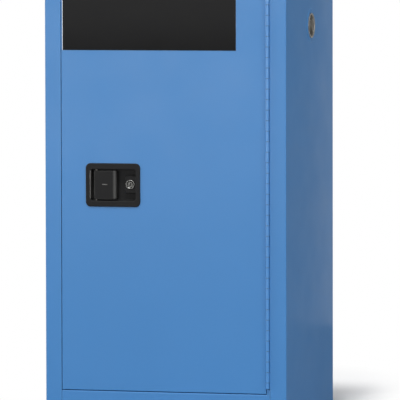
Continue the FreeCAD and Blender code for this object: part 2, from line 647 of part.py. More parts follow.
def door_skin():
    """The outer door pan: the face and its returned edges, the free one joggled, and its openings."""
    lip_x = DOOR_LEFT - DOOR_LIP
    pan = block(DOOR_LEFT, DOOR_RIGHT, 0, DOOR_THICK - SHEET, DOOR_BOTTOM, DOOR_TOP)
    pan = join(pan, block(lip_x, DOOR_LEFT + LAP, 0, DOOR_LIP_DEPTH, DOOR_BOTTOM, DOOR_TOP))
    pan = pan.makeFillet(DOOR_BEND, edges_at_depth(pan, 0))
    low, high = DOOR_BOTTOM + SHEET, DOOR_TOP - SHEET
    hollow = block(DOOR_LEFT + SHEET, DOOR_RIGHT - SHEET, SHEET, DOOR_THICK, low, high)
    lip_hollow = block(lip_x + SHEET, DOOR_LEFT + SHEET + LAP, SHEET, DOOR_LIP_DEPTH - SHEET, low, high)
    window = pan_room(PAN_WALL + LATCH_PLAY, -OVER, OVER)
    nose_half = NOSE_H / 2 + NOSE_PLAY
    slot = block(lip_x - OVER, DOOR_LEFT + OVER, NOSE_D0 - NOSE_PLAY, NOSE_D1 + NOSE_PLAY,
                 LATCH_Z - nose_half, LATCH_Z + nose_half)
    rods = [rod_z(ROD_TIP_R + ROD_PLAY, z - OVER, z + OVER, x, ROD_D)
            for x, z in ((TOP_ROD_X, DOOR_TOP), (BOTTOM_ROD_X, DOOR_BOTTOM))]
    fixings = [rod_d(FIXING_R + FIT, -OVER, OVER, x, z) for x, z in fixing_places()]
    return cut(pan, hollow, lip_hollow, window, slot, *rods, *fixings)


def cover_corners():
    """The four screws of the latch cover."""
    inset = COVER_SCREW_INSET
    return [(x, z) for x in (COVER_X0 + inset, COVER_X1 - inset)
            for z in (LATCH_Z - COVER_HALF + inset, LATCH_Z + COVER_HALF - inset)]


def cover_holes():
    """The screw holes through the inner door panel and the latch cover."""
    return [rod_d(SCREW_R + RUNNING, DOOR_THICK - OVER, DOOR_THICK + OVER, x, z) for x, z in cover_corners()]


def door_liner():
    """The inner door panel, with the opening that gives access to the latch."""
    sheet = block(DOOR_LEFT, DOOR_RIGHT, DOOR_THICK - SHEET, DOOR_THICK, DOOR_BOTTOM, DOOR_TOP)
    access = rounded_plate(COVER_X0 + COVER_LAP, COVER_X1 - COVER_LAP, LATCH_Z - COVER_HALF + COVER_LAP,
                           LATCH_Z + COVER_HALF - COVER_LAP, DOOR_THICK - OVER, DOOR_THICK + OVER, COVER_R)
    return cut(sheet, access, *cover_holes())


def latch_cover():
    """A plate over the access opening, on the cavity side of the door."""
    plate = rounded_plate(COVER_X0, COVER_X1, LATCH_Z - COVER_HALF, LATCH_Z + COVER_HALF,
                          DOOR_THICK, DOOR_THICK + SHEET, COVER_R)
    return cut(plate, *cover_holes())


def cover_screws():
    """Four pan-head screws that hold the latch cover."""
    back = DOOR_THICK + SHEET
    top = back + SCREW_HEAD_T
    half = SCREW_SLOT_W / 2
    screws = []
    for x, z in cover_corners():
        head = rod_d(SCREW_HEAD_R, back, top, x, z)
        shank = rod_d(SCREW_R, back - SCREW_L, back, x, z)
        slot = block(x - OVER, x + OVER, top - SCREW_SLOT_D, top + OVER, z - half, z + half)
        screws.append(cut(join(head, shank), slot))
    return screws


def sign_plate():
    """The sign: a thin blank plate on the upper part of the door."""
    return block(SIGN_X0, SIGN_X1, -SIGN_T, 0, SIGN_Z0, SIGN_Z1)


# ---------------------------------------------------------------- latch: fixed parts
TAIL_SLOT_LEFT, TAIL_SLOT_RIGHT, TAIL_SLOT_END = 4.5, 13.0, 2.0  # from the pivot, and beyond the tail's ends
CLAMP_PLAY = 0.5
FIXING_NUT, FIXING_NUT_T = 8.0, 3.5
SPRING_R, SPRING_BORE_R, SPRING_WIRE_R = 4.6, 3.4, 0.5
SPRING_LEG_X, SPRING_LEG_UP = 4.0, 0.7  # the leg's place, left of the pin and above the coil's lower end
SPRING_PLAY = 0.5  # above and below the coil
LOCK_NUT, LOCK_NUT_T, LOCK_BEZEL_ROUND = 24.0, 4.0, 1.0
CORE_FACE = LOCK_FACE + 0.8
KEYWAY_W, KEYWAY_H, KEYWAY_DEPTH = 2.2, 8.8, 12.0
SQUARE_HALF, SQUARE_END = 3.5, 35.5
CAM_D0, CAM_D1, CAM_HALF, CAM_REACH = 32.2, 34.6, 7.0, 40.0
CAM_R = 5.0
GUIDE_PLAY, GUIDE_WALL, GUIDE_H = 0.4, 2.0, 20.0
TOP_GUIDES_Z = (ROTOR_Z + 60.0, DOOR_TOP - 90.0)
BOTTOM_GUIDES_Z = (DOOR_BOTTOM + 70.0, ROTOR_Z - 110.0)


def latch_housing():
    """The die-cast housing: a flange on the door's face, a recessed pan, and the boss that holds the lock."""
    flange = rounded_plate(LATCH_X - FLANGE_W / 2, LATCH_X + FLANGE_W / 2, LATCH_Z - FLANGE_H / 2,
                           LATCH_Z + FLANGE_H / 2, -FLANGE_T, 0, FLANGE_R)
    flange = flange.makeFillet(FLANGE_EDGE, edges_at_depth(flange, -FLANGE_T))
    shell = pan_room(PAN_WALL, -LAP, PAN_FLOOR + PAN_WALL)
    recess = pan_room(0, -OVER, PAN_FLOOR)
    recess = recess.makeFillet(PAN_CORE, edges_at_depth(recess, PAN_FLOOR))
    pan = cut(join(flange, shell), recess)
    rim = [e for e in edges_at_depth(pan, -FLANGE_T)
           if e.BoundBox.XMin > PAN_X0 - LAP and e.BoundBox.XMax < PAN_X1 + LAP
           and e.BoundBox.ZMin > LATCH_Z - PAN_H / 2 - LAP and e.BoundBox.ZMax < LATCH_Z + PAN_H / 2 + LAP]
    pan = pan.makeFillet(PAN_RIM, rim)
    boss = rounded_plate(BOSS_X0, PAN_X1 + LAP, LOCK_Z - BOSS_H / 2, LOCK_Z + BOSS_H / 2,
                         BOSS_FACE, PAN_FLOOR + LAP, BOSS_R)
    boss = boss.makeFillet(BOSS_ROUND, edges_at_depth(boss, BOSS_FACE))
    fixings = [rod_d(FIXING_R, -LAP, FIXING_END, x, z) for x, z in fixing_places()]
    tail_half = TAIL_H / 2 + TAIL_SLOT_END
    tail_slot = block(PADDLE_X - TAIL_SLOT_LEFT, PADDLE_X + TAIL_SLOT_RIGHT, PAN_FLOOR - LAP,
                      PAN_FLOOR + OVER, LATCH_Z - tail_half, LATCH_Z + tail_half)
    lock_hole = rod_d(LOCK_BODY_R + RUNNING, BOSS_FACE - OVER, PAN_FLOOR + OVER, LOCK_X, LOCK_Z)
    pin_reach = PAN_H / 2 + OVER
    pin_hole = rod_z(PADDLE_PIN_R + RUNNING, LATCH_Z - pin_reach, LATCH_Z + pin_reach, PADDLE_X, PADDLE_D)
    return cut(join(pan, boss, *fixings), tail_slot, lock_hole, pin_hole)


def latch_clamp():
    """A steel frame behind the door skin that the housing is drawn against."""
    frame = block(LATCH_X - CLAMP_HALF_W, LATCH_X + CLAMP_HALF_W, SHEET, SHEET + CLAMP_T,
                  LATCH_Z - CLAMP_HALF_H, LATCH_Z + CLAMP_HALF_H)
    holes = [rod_d(FIXING_R + FIT, 0, OVER, x, z) for x, z in fixing_places()]
    return cut(frame, pan_room(PAN_WALL + CLAMP_PLAY, 0, OVER), *holes)


def latch_nuts():
    """Four nuts on the housing's studs."""
    start = SHEET + CLAMP_T
    nuts = []
    for x, z in fixing_places():
        nut = hexagon(FIXING_NUT, FIXING_NUT_T, at(x, start, z), Vec(0, 1, 0))
        nuts.append(nut.cut(rod_d(FIXING_R + RUNNING, start - OVER, start + FIXING_NUT_T + OVER, x, z)))
    return nuts


def paddle_pin():
    """The pin that the paddle turns on, carried by the pan's top and bottom walls."""
    reach = PAN_H / 2 + PAN_WALL
    return rod_z(PADDLE_PIN_R, LATCH_Z - reach, LATCH_Z + reach, PADDLE_X, PADDLE_D)


def paddle_spring():
    """The torsion spring round the pin, drawn as its closed coil with one leg against the pan's floor."""
    low, high = SPRING_Z0 + SPRING_PLAY, SPRING_Z1 - SPRING_PLAY
    coil = rod_z(SPRING_R, low, high, PADDLE_X, PADDLE_D)
    coil = coil.cut(rod_z(SPRING_BORE_R, low - OVER, high + OVER, PADDLE_X, PADDLE_D))
    leg = rod_d(SPRING_WIRE_R, PADDLE_D, PAN_FLOOR, PADDLE_X - SPRING_LEG_X, low + SPRING_LEG_UP)
    return join(coil, leg)


def lock_barrel():
    """The lock's body, with its dished bezel on the face of the boss."""
    bezel = rod_d(LOCK_BEZEL_R, LOCK_FACE, BOSS_FACE, LOCK_X, LOCK_Z)
    bezel = bezel.makeFillet(LOCK_BEZEL_ROUND, edges_at_depth(bezel, LOCK_FACE))
    dish = Part.makeCone(LOCK_DISH_R, LOCK_CORE_R + RUNNING, LOCK_DISH_DEPTH,
                         at(LOCK_X, LOCK_FACE, LOCK_Z), Vec(0, 1, 0))
    body = rod_d(LOCK_BODY_R, BOSS_FACE, LOCK_END, LOCK_X, LOCK_Z)
    bore = rod_d(LOCK_CORE_R + RUNNING, LOCK_FACE - OVER, LOCK_END + OVER, LOCK_X, LOCK_Z)
    return cut(join(bezel, body), dish, bore)


def lock_nut():
    """The nut that holds the lock in the housing."""
    start = PAN_FLOOR + PAN_WALL
    nut = hexagon(LOCK_NUT, LOCK_NUT_T, at(LOCK_X, start, LOCK_Z), Vec(0, 1, 0))
    return nut.cut(rod_d(LOCK_BODY_R + RUNNING, start - OVER, start + LOCK_NUT_T + OVER, LOCK_X, LOCK_Z))


def lock_plug():
    """The part of the lock that the key turns, with its keyway and the square that drives the cam."""
    core = rod_d(LOCK_CORE_R, CORE_FACE, LOCK_END + FIT, LOCK_X, LOCK_Z)
    square = block(LOCK_X - SQUARE_HALF, LOCK_X + SQUARE_HALF, LOCK_END, SQUARE_END,
                   LOCK_Z - SQUARE_HALF, LOCK_Z + SQUARE_HALF)
    keyway = block(LOCK_X - KEYWAY_W / 2, LOCK_X + KEYWAY_W / 2, CORE_FACE - OVER, CORE_FACE + KEYWAY_DEPTH,
                   LOCK_Z - KEYWAY_H / 2, LOCK_Z + KEYWAY_H / 2)
    return cut(join(core, square), keyway)


def lock_cam():
    """The flat cam on the back of the lock; it hangs down when the lock is open."""
    arm = rounded_plate(LOCK_X - CAM_HALF, LOCK_X + CAM_HALF, LOCK_Z - CAM_REACH, LOCK_Z + CAM_HALF,
                        CAM_D0, CAM_D1, CAM_R)
    half = SQUARE_HALF + RUNNING
    hole = block(LOCK_X - half, LOCK_X + half, CAM_D0 - OVER, CAM_D1 + OVER, LOCK_Z - half, LOCK_Z + half)
    return arm.cut(hole)


def rod_guides():
    """Straps inside the door skin that keep the rods upright, two to each rod."""
    inner, back = ROD_W / 2 + GUIDE_PLAY, ROD_D1 + GUIDE_PLAY
    outer = inner + GUIDE_WALL
    straps = []
    for x, levels in ((TOP_ROD_X, TOP_GUIDES_Z), (BOTTOM_ROD_X, BOTTOM_GUIDES_Z)):
        for z in levels:
            strap = block(x - outer, x + outer, SHEET, back + GUIDE_WALL, z, z + GUIDE_H)
            straps.append(strap.cut(block(x - inner, x + inner, 0, back, z - OVER, z + GUIDE_H + OVER)))
    return straps


BRACKET_X0, STRAP_X0, STRAP_X1 = -240.0, -199.0, -191.0
STRAP_D0, STRAP_OVER = 25.0, 3.0  # front of the strap round the bolt's tail, and its reach above and below
BRACKET_T, BRACKET_LOW, BRACKET_HIGH = 2.0, 8.0, 14.0
COLLAR_WALL, PIVOT_PROUD = 3.0, 1.5


def bolt_guide():
    """A bracket on the inner door panel: it carries the bolt's tail and the pivot of the rotor."""
    back = DOOR_THICK - SHEET
    high, low = LATCH_Z + BOLT_H / 2 + GUIDE_PLAY, LATCH_Z - BOLT_H / 2 - GUIDE_PLAY
    strap = block(STRAP_X0, STRAP_X1, STRAP_D0, back, low - STRAP_OVER, high + STRAP_OVER)
    strap = strap.cut(block(STRAP_X0 - OVER, STRAP_X1 + OVER, BOLT_D0 - FIT, back - BRACKET_T, low, high))
    plate = block(BRACKET_X0, STRAP_X1, back - BRACKET_T, back, low - BRACKET_LOW, ROTOR_Z + BRACKET_HIGH)
    pivot = rod_d(ROTOR_PIVOT_R, ROTOR_D0 - PIVOT_PROUD, back - LAP, ROTOR_X, ROTOR_Z)
    collar = rod_d(ROTOR_PIVOT_R + COLLAR_WALL, ROTOR_D1 + GUIDE_PLAY, back - LAP, ROTOR_X, ROTOR_Z)
    return join(strap, plate, pivot, collar)


# ---------------------------------------------------------------- latch: moving parts
WEB_T = 3.0
SPRING_ROOM = 1.5  # round the paddle's barrel
WINDOW_LEFT, WINDOW_RIGHT, WINDOW_END = 4.4, 4.2, 1.0  # the bolt's window, from the paddle's pivot and tail
NOSE_BEVEL = 8.0
TAB_HALF, HUB_R, ARM_HALF, LEG_HALF = 6.0, 9.0, 6.0, 6.5
LEG_END = 11.0  # the rotor's leg passes the bolt's pin by this
DRIVE_DOWN, DRIVE_UP = 8.5, 3.5  # the slot in the leg, from the bolt's pin
EYE_EXTRA, EYE_SLOT_EXTRA = 4.0, 4.6  # a rod's eye reaches this much further, and is open, toward the rotor
ROD_LAP = 8.0  # a rod's flat bar laps its round tip by this
TAB_OVER, PIN_PROUD = 4.0, 0.5  # the bolt's tab passes its pin, and the pin passes the rotor


def paddle():
    """The paddle that the hand pulls: a bent plate, a barrel on the pin, and a tail that reaches the bolt."""
    half = PADDLE_H / 2
    low, high = LATCH_Z - half, LATCH_Z + half
    mid = PADDLE_FACE + PADDLE_T / 2
    line = [(PADDLE_LEFT + PADDLE_T / 2, PADDLE_D), (PADDLE_LEFT + PADDLE_T / 2, mid),
            (PADDLE_RIGHT - PADDLE_T / 2, mid), (PADDLE_RIGHT - PADDLE_T / 2, mid + PADDLE_LIP)]
    plate = folded(line, PADDLE_T, (PADDLE_ROUND, PADDLE_ROLL), "xd", low, PADDLE_H)
    ends = [e for e in plate.Edges if all(abs(abs(v.Z - LATCH_Z) - half) < 1e-4 for v in e.Vertexes)]
    face, edge = FRONT + PADDLE_FACE + 0.01, PADDLE_RIGHT - 0.01
    outer = [e for e in ends if e.BoundBox.YMin < face or e.BoundBox.XMax > edge]
    plate = plate.makeFillet(PADDLE_EDGE, outer)
    barrel = rod_z(PADDLE_BARREL_R, low, high, PADDLE_X, PADDLE_D)
    web = block(PADDLE_X, PADDLE_X + WEB_T, mid, PADDLE_D, low, high)
    tail = block(PADDLE_X - TAIL_T / 2, PADDLE_X + TAIL_T / 2, PADDLE_D, TAIL_END,
                 LATCH_Z - TAIL_H / 2, LATCH_Z + TAIL_H / 2)
    room_r = PADDLE_BARREL_R + SPRING_ROOM
    left, right = PADDLE_X - 2 * room_r, PADDLE_X + 2 * room_r
    room = rod_z(room_r, SPRING_Z0, SPRING_Z1, PADDLE_X, PADDLE_D)
    room = room.fuse(block(PADDLE_X - room_r, PADDLE_X + room_r, PADDLE_D, PAN_FLOOR, SPRING_Z0, SPRING_Z1))
    room = room.cut(block(left, right, -OVER, PADDLE_FACE + PADDLE_T, SPRING_Z0, SPRING_Z1))
    room = room.cut(block(left, PADDLE_X - PADDLE_BARREL_R - FIT, -OVER, PAN_FLOOR, SPRING_Z0, SPRING_Z1))
    bore = rod_z(PADDLE_PIN_R + RUNNING, low - OVER, high + OVER, PADDLE_X, PADDLE_D)
    return cut(join(plate, barrel, web, tail), room, bore)


def centre_bolt():
    """The sliding bolt: a bevelled nose at the door's edge, a flat bar with a window, and a drive pin."""
    x0, x1 = DOOR_LEFT - BOLT_PROUD, DOOR_LEFT + NOSE_L
    nose = block(x0, x1, NOSE_D0, NOSE_D1, LATCH_Z - NOSE_H / 2, LATCH_Z + NOSE_H / 2)
    left, rear = x0 - LAP, NOSE_D1 + LAP
    corners = [at(x, d, LATCH_Z - NOSE_H) for x, d in
               ((left, rear), (left, rear - NOSE_BEVEL), (x0 + NOSE_BEVEL, rear))]
    bevel = Part.Face(Part.makePolygon(corners + corners[:1])).extrude(Vec(0, 0, 2 * NOSE_H))
    bar = block(x1 - LAP, BOLT_END, BOLT_D0, BOLT_D1, LATCH_Z - BOLT_H / 2, LATCH_Z + BOLT_H / 2)
    pin_z = ROTOR_Z - ROTOR_ARM
    tab = block(ROTOR_X - TAB_HALF, ROTOR_X + TAB_HALF, BOLT_D0, BOLT_D1, LATCH_Z, pin_z + TAB_OVER)
    pin = rod_d(ROTOR_PIN_R, BOLT_D0, ROTOR_D1 + PIN_PROUD, ROTOR_X, pin_z)
    window_half = TAIL_H / 2 + WINDOW_END
    window = block(PADDLE_X - WINDOW_LEFT, PADDLE_X + WINDOW_RIGHT, BOLT_D0 - OVER, BOLT_D1 + OVER,
                   LATCH_Z - window_half, LATCH_Z + window_half)
    return cut(join(nose.cut(bevel), bar, tab, pin), window)


def latch_rotor():
    """The rocker that turns the bolt's slide into opposite slides of the two rods."""
    hub = rod_d(HUB_R, ROTOR_D0, ROTOR_D1, ROTOR_X, ROTOR_Z)
    arm = block(ROTOR_X - ROTOR_REACH, ROTOR_X + ROTOR_REACH, ROTOR_D0, ROTOR_D1,
                ROTOR_Z - ARM_HALF, ROTOR_Z + ARM_HALF)
    tips = [rod_d(ARM_HALF, ROTOR_D0, ROTOR_D1, ROTOR_X + s * ROTOR_REACH, ROTOR_Z) for s in (1, -1)]
    pin_z = ROTOR_Z - ROTOR_ARM
    leg = block(ROTOR_X - LEG_HALF, ROTOR_X + LEG_HALF, ROTOR_D0, ROTOR_D1, pin_z - LEG_END, ROTOR_Z)
    pins = [rod_d(ROTOR_PIN_R, ROD_D0, ROTOR_D0 + LAP, ROTOR_X + s * ROTOR_REACH, ROTOR_Z) for s in (1, -1)]
    half = ROTOR_PIN_R + PIN_PLAY
    drive = block(ROTOR_X - half, ROTOR_X + half, ROTOR_D0 - OVER, ROTOR_D1 + OVER,
                  pin_z - DRIVE_DOWN, pin_z + DRIVE_UP)
    pivot = rod_d(ROTOR_PIVOT_R + RUNNING, ROTOR_D0 - OVER, ROTOR_D1 + OVER, ROTOR_X, ROTOR_Z)
    return cut(join(hub, arm, *tips, leg, *pins), drive, pivot)


def rod(x, upward):
    """A flat rod with a round tip at the door's edge and an eye at the rotor; upward is +1 or -1."""
    edge = DOOR_TOP if upward > 0 else DOOR_BOTTOM
    tip_end = edge + upward * ROD_PROUD
    tip_start = tip_end - upward * ROD_TIP_L
    heel = ROTOR_Z - upward * EYE_HALF
    bar = block(x - ROD_W / 2, x + ROD_W / 2, ROD_D0, ROD_D1, *sorted((heel, tip_start + upward * ROD_LAP)))
    tip = rod_z(ROD_TIP_R, *sorted((tip_start, tip_end)), x, ROD_D)
    eye_x = sorted((x - upward * ROD_W / 2, x + upward * (ROD_W / 2 + EYE_EXTRA)))
    eye = block(*eye_x, ROD_D0, ROD_D1, ROTOR_Z - EYE_HALF, ROTOR_Z + EYE_HALF)
    half = ROTOR_PIN_R + PIN_PLAY
    slot_x = sorted((x - upward * half, x + upward * (half + EYE_SLOT_EXTRA)))
    slot = block(*slot_x, ROD_D0 - OVER, ROD_D1 + OVER, ROTOR_Z - half, ROTOR_Z + half)
    return cut(join(bar, tip, eye), slot)


# ---------------------------------------------------------------- feet and ground terminal
FOOT_HEX, FOOT_HEX_T = 14.0, 3.6
FOOT_TAPER = 5.0  # the pad's top is this much smaller in radius
FOOT_NUT, FOOT_NUT_T = 17.0, 9.0
BOND_HEAD_R, BOND_HEAD_T = 6.0, 2.8  # the stud's head is welded inside the side sheet
BOND_WASHER_R, BOND_WASHER_T = 6.4, 1.2
BOND_NUT, BOND_NUT_T = 10.0, 4.4
GROOVE_OUT, GROOVE_W, GROOVE_DEPTH = 0.2, 0.6, 0.4  # the stud's groove just outside its nut


def foot_stud(x, d):
    """A threaded stud with a hexagon above its pad."""
    shaft = rod_z(FOOT_STUD_R, FOOT_SOCKET, FOOT_STUD_TOP, x, d)
    return join(shaft, hexagon(FOOT_HEX, FOOT_HEX_T, at(x, d, FOOT_PAD_T), Vec(0, 0, 1)))


def foot_pad(x, d):
    """The round pad that a stud turns in."""
    cone = Part.makeCone(FOOT_PAD_R, FOOT_PAD_R - FOOT_TAPER, FOOT_PAD_T - FOOT_RIM_T,
                         at(x, d, FOOT_RIM_T), Vec(0, 0, 1))
    pad = join(rod_z(FOOT_PAD_R, 0, FOOT_RIM_T, x, d), cone)
    return pad.cut(rod_z(FOOT_STUD_R + RUNNING, FOOT_SOCKET, FOOT_PAD_T + OVER, x, d))


def foot_nuts():
    """Threaded nuts welded on the inside of the base, one over each foot."""
    start = FOOT_CLEAR + SHEET
    nuts = []
    for _, x, d in foot_places():
        nut = hexagon(FOOT_NUT, FOOT_NUT_T, at(x, d, start), Vec(0, 0, 1))
        nuts.append(nut.cut(rod_z(FOOT_STUD_R + RUNNING, start - OVER, start + FOOT_NUT_T + OVER, x, d)))
    return nuts


def ground_terminal():
    """The stud for a bonding lead, low on the left side, and its washer and nut."""
    out = -HALF_WIDTH
    nut_face = out - BOND_WASHER_T - BOND_NUT_T
    stud = join(rod_x(BOND_R, out - BOND_L, out + SHEET + BOND_HEAD_T, BOND_D, BOND_Z),
                rod_x(BOND_HEAD_R, out + SHEET, out + SHEET + BOND_HEAD_T, BOND_D, BOND_Z))
    groove = rod_x(BOND_R + LAP, nut_face - GROOVE_OUT - GROOVE_W, nut_face - GROOVE_OUT, BOND_D, BOND_Z)
    groove = groove.cut(rod_x(BOND_R - GROOVE_DEPTH, out - BOND_L, out, BOND_D, BOND_Z))
    hole = rod_x(BOND_R + RUNNING, out - BOND_L, out + OVER, BOND_D, BOND_Z)
    washer = rod_x(BOND_WASHER_R, out - BOND_WASHER_T, out, BOND_D, BOND_Z).cut(hole)
    nut = hexagon(BOND_NUT, BOND_NUT_T, at(nut_face, BOND_D, BOND_Z), Vec(1, 0, 0)).cut(hole)
    return [stud.cut(groove), washer, nut]


# ---------------------------------------------------------------- files
def write(name, shapes):
    """Writes a node's solids to its STEP file and prints their count and volume."""
    shapes = shapes if isinstance(shapes, list) else [shapes]
    solids = [s for shape in shapes for s in shape.Solids]
    good = all(s.isValid() and s.isClosed() and s.Volume > 0 for s in solids)
    whole = solids[0] if len(solids) == 1 else Part.makeCompound(solids)
    whole.exportStep(f"parts/{name}.step")
    volume = sum(s.Volume for s in solids) / 1000
    print(f"{name:22s} {len(solids):3d} solids {volume:10.2f} cm3 {'ok' if good else 'BAD'}")


def main():
    """Makes every node."""
    os.makedirs("parts", exist_ok=True)
    nodes = {
        "side_left": side_panel(-1), "side_right": side_panel(1), "top_panel": top_panel(),
        "back_panel": back_panel(), "base_panel": base_panel(), "door_sill": door_sill(),
        "liner_left": liner_side(-1), "liner_right": liner_side(1), "liner_top": liner_top(),
        "liner_back": liner_back(), "liner_floor": liner_floor(),
        "door_stops": door_stops(), "strike_plates": strike_plates(),
        "shelf_standards": shelf_standards(), "shelf_clips": shelf_clips(),
        "shelf": shelf(), "shelf_tray": shelf_tray(), "floor_tray": floor_tray(),
        "vent_tubes": vent_tubes(), "vent_bungs": vent_bungs(), "flame_arresters": flame_arresters(),
        "vent_plug_right": vent_plug(1), "vent_plug_left": vent_plug(-1),
        "vent_gasket_right": vent_gasket(1), "vent_gasket_left": vent_gasket(-1),
        "hinge_leaf_frame": hinge_leaf(False), "hinge_leaf_door": hinge_leaf(True),
        "hinge_pin": hinge_pin(), "hinge_packing": hinge_packing(),
        "door_skin": door_skin(), "door_liner": door_liner(), "sign_plate": sign_plate(),
        "latch_cover": latch_cover(), "cover_screws": cover_screws(),
        "latch_housing": latch_housing(), "latch_clamp": latch_clamp(), "latch_nuts": latch_nuts(),
        "paddle": paddle(), "paddle_pin": paddle_pin(), "paddle_spring": paddle_spring(),
        "lock_barrel": lock_barrel(), "lock_nut": lock_nut(),
        "lock_plug": lock_plug(), "lock_cam": lock_cam(),
        "rod_guides": rod_guides(), "bolt_guide": bolt_guide(),
        "centre_bolt": centre_bolt(), "latch_rotor": latch_rotor(),
        "top_rod": rod(TOP_ROD_X, 1), "bottom_rod": rod(BOTTOM_ROD_X, -1),
        "foot_nuts": foot_nuts(), "ground_terminal": ground_terminal(),
    }
    for name, x, d in foot_places():
        nodes[f"foot_stud_{name}"] = foot_stud(x, d)
        nodes[f"foot_pad_{name}"] = foot_pad(x, d)
    for name, shapes in nodes.items():
        write(name, shapes)
    print(len(nodes), "nodes")


main()
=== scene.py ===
import bmesh
import bpy
import math
from mathutils import Matrix, Vector


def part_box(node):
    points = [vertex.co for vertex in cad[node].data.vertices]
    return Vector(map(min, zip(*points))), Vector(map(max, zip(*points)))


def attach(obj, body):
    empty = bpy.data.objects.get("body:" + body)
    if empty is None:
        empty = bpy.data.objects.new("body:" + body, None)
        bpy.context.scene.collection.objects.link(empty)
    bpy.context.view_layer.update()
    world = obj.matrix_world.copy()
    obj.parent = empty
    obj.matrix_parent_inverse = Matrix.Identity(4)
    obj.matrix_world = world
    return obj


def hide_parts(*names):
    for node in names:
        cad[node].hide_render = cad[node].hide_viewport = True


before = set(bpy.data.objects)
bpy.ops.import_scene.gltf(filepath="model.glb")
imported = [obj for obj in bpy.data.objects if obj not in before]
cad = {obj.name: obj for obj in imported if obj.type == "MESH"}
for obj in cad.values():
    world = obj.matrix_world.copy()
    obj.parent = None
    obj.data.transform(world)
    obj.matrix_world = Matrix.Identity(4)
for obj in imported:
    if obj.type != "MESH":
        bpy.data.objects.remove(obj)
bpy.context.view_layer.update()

# ---------------------------------------------------------------- camera
# A long lens on a stand about as high as the cabinet, a little to its right and tipped down by three degrees.
# It stands over ten cabinet heights away, so that edges that are parallel on the cabinet stay almost parallel.
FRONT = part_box("side_left")[0].y
CAMERA_AZIMUTH = math.radians(15.873)
CAMERA_TILT = math.radians(3.056)
CAMERA_ROLL = math.radians(-0.115)
CAMERA_DISTANCE = 11.816
CAMERA_AIM = Vector((0.08863, FRONT, 0.54489))
LENS_PER_SENSOR = 4872 / 400
FARTHEST = 200
back = Vector((math.sin(CAMERA_AZIMUTH) * math.cos(CAMERA_TILT),
               -math.cos(CAMERA_AZIMUTH) * math.cos(CAMERA_TILT),
               math.sin(CAMERA_TILT)))
level = Vector((math.cos(CAMERA_AZIMUTH), math.sin(CAMERA_AZIMUTH), 0))
right = Matrix.Rotation(CAMERA_ROLL, 3, back) @ level
lens = bpy.data.cameras.new("camera")
lens.lens = LENS_PER_SENSOR * lens.sensor_width
lens.clip_end = FARTHEST
camera = bpy.data.objects.new("camera", lens)
camera.matrix_world = Matrix.Translation(CAMERA_AIM + back * CAMERA_DISTANCE) @ Matrix(
    (right, back.cross(right), back)).transposed().to_4x4()
bpy.context.scene.collection.objects.link(camera)
bpy.context.scene.camera = camera
bpy.context.scene.view_settings.view_transform = "Standard"

# ---------------------------------------------------------------- studio
# A white sweep under a high key lamp, with broad low fills whose reflections lie softly on the door and the side,
# and weak lamps behind. The floor and the air are white to the camera, and the floor keeps the soft shadow.


def linear(hex_colour, alpha=1.0):
    """An sRGB hex colour as the linear colour that a shader takes."""
    parts = [int(hex_colour[i:i + 2], 16) / 255 for i in (1, 3, 5)]
    return tuple(p / 12.92 if p <= 0.04045 else ((p + 0.055) / 1.055) ** 2.4 for p in parts) + (alpha,)


def add(tree, kind, inputs, **settings):
    """A new node, with its settings, and with each input set to a value or linked to a socket."""
    node = tree.nodes.new(kind)
    for name, value in settings.items():
        setattr(node, name, value)
    for name, value in inputs.items():
        if isinstance(value, bpy.types.NodeSocket):
            tree.links.new(value, node.inputs[name])
        else:
            node.inputs[name].default_value = value
    return node


AIR_LIGHT = 0.2
AIR_AHEAD = 0.8  # what a glossy face mirrors from the front and the sides
AIR_BEHIND = 0.12  # what it mirrors from straight behind
STRAIGHT_BEHIND = 0.8
world = bpy.data.worlds.new("air")
world.use_nodes = True
bpy.context.scene.world = world
air = world.node_tree
air.nodes.clear()
ray = add(air, "ShaderNodeLightPath", {})
toward = add(air, "ShaderNodeTexCoord", {})
axes = add(air, "ShaderNodeSeparateXYZ", {"Vector": toward.outputs["Generated"]})
mirrored = add(air, "ShaderNodeMapRange", {"Value": axes.outputs["Y"], "From Min": 0.0,
                                           "From Max": STRAIGHT_BEHIND, "To Min": AIR_AHEAD,
                                           "To Max": AIR_BEHIND})
seen = add(air, "ShaderNodeMapRange",
           {"Value": ray.outputs["Is Glossy Ray"], "To Min": AIR_LIGHT, "To Max": mirrored.outputs["Result"]})
shown = add(air, "ShaderNodeMapRange",
            {"Value": ray.outputs["Is Camera Ray"], "To Min": seen.outputs["Result"], "To Max": 1.0})
clear = add(air, "ShaderNodeMapRange",
            {"Value": ray.outputs["Is Transmission Ray"], "To Min": shown.outputs["Result"], "To Max": 1.0})
glow = add(air, "ShaderNodeBackground", {"Color": linear("#FFFFFF"), "Strength": clear.outputs["Result"]})
add(air, "ShaderNodeOutputWorld", {"Surface": glow.outputs["Background"]})

FLOOR_HALF = 60.0
FLOOR_BOUNCE = "#D0D0D0"
FLOOR_MIRRORED = "#808080"
SHADOW_REACH = 1.1  # half the length of the oval that shows the whole shadow
SHADOW_END = 1.5  # half the length of the oval beyond which the floor is plain white to the camera
SHADOW_SLIM = 3.4  # how many times longer than wide both ovals are
bm = bmesh.new()
bmesh.ops.create_grid(bm, x_segments=1, y_segments=1, size=FLOOR_HALF)
floor_mesh = bpy.data.meshes.new("floor")
bm.to_mesh(floor_mesh)
bm.free()
floor = bpy.data.objects.new("floor", floor_mesh)
bpy.context.scene.collection.objects.link(floor)
paper = bpy.data.materials.new("white_paper_sweep")
paper.use_nodes = True
tree = paper.node_tree
tree.nodes.clear()
ray = add(tree, "ShaderNodeLightPath", {})
here = add(tree, "ShaderNodeTexCoord", {}).outputs["Object"]
shine = add(tree, "ShaderNodeMix", {"Factor": ray.outputs["Is Glossy Ray"], 6: linear(FLOOR_BOUNCE),
                                    7: linear(FLOOR_MIRRORED)}, data_type="RGBA")
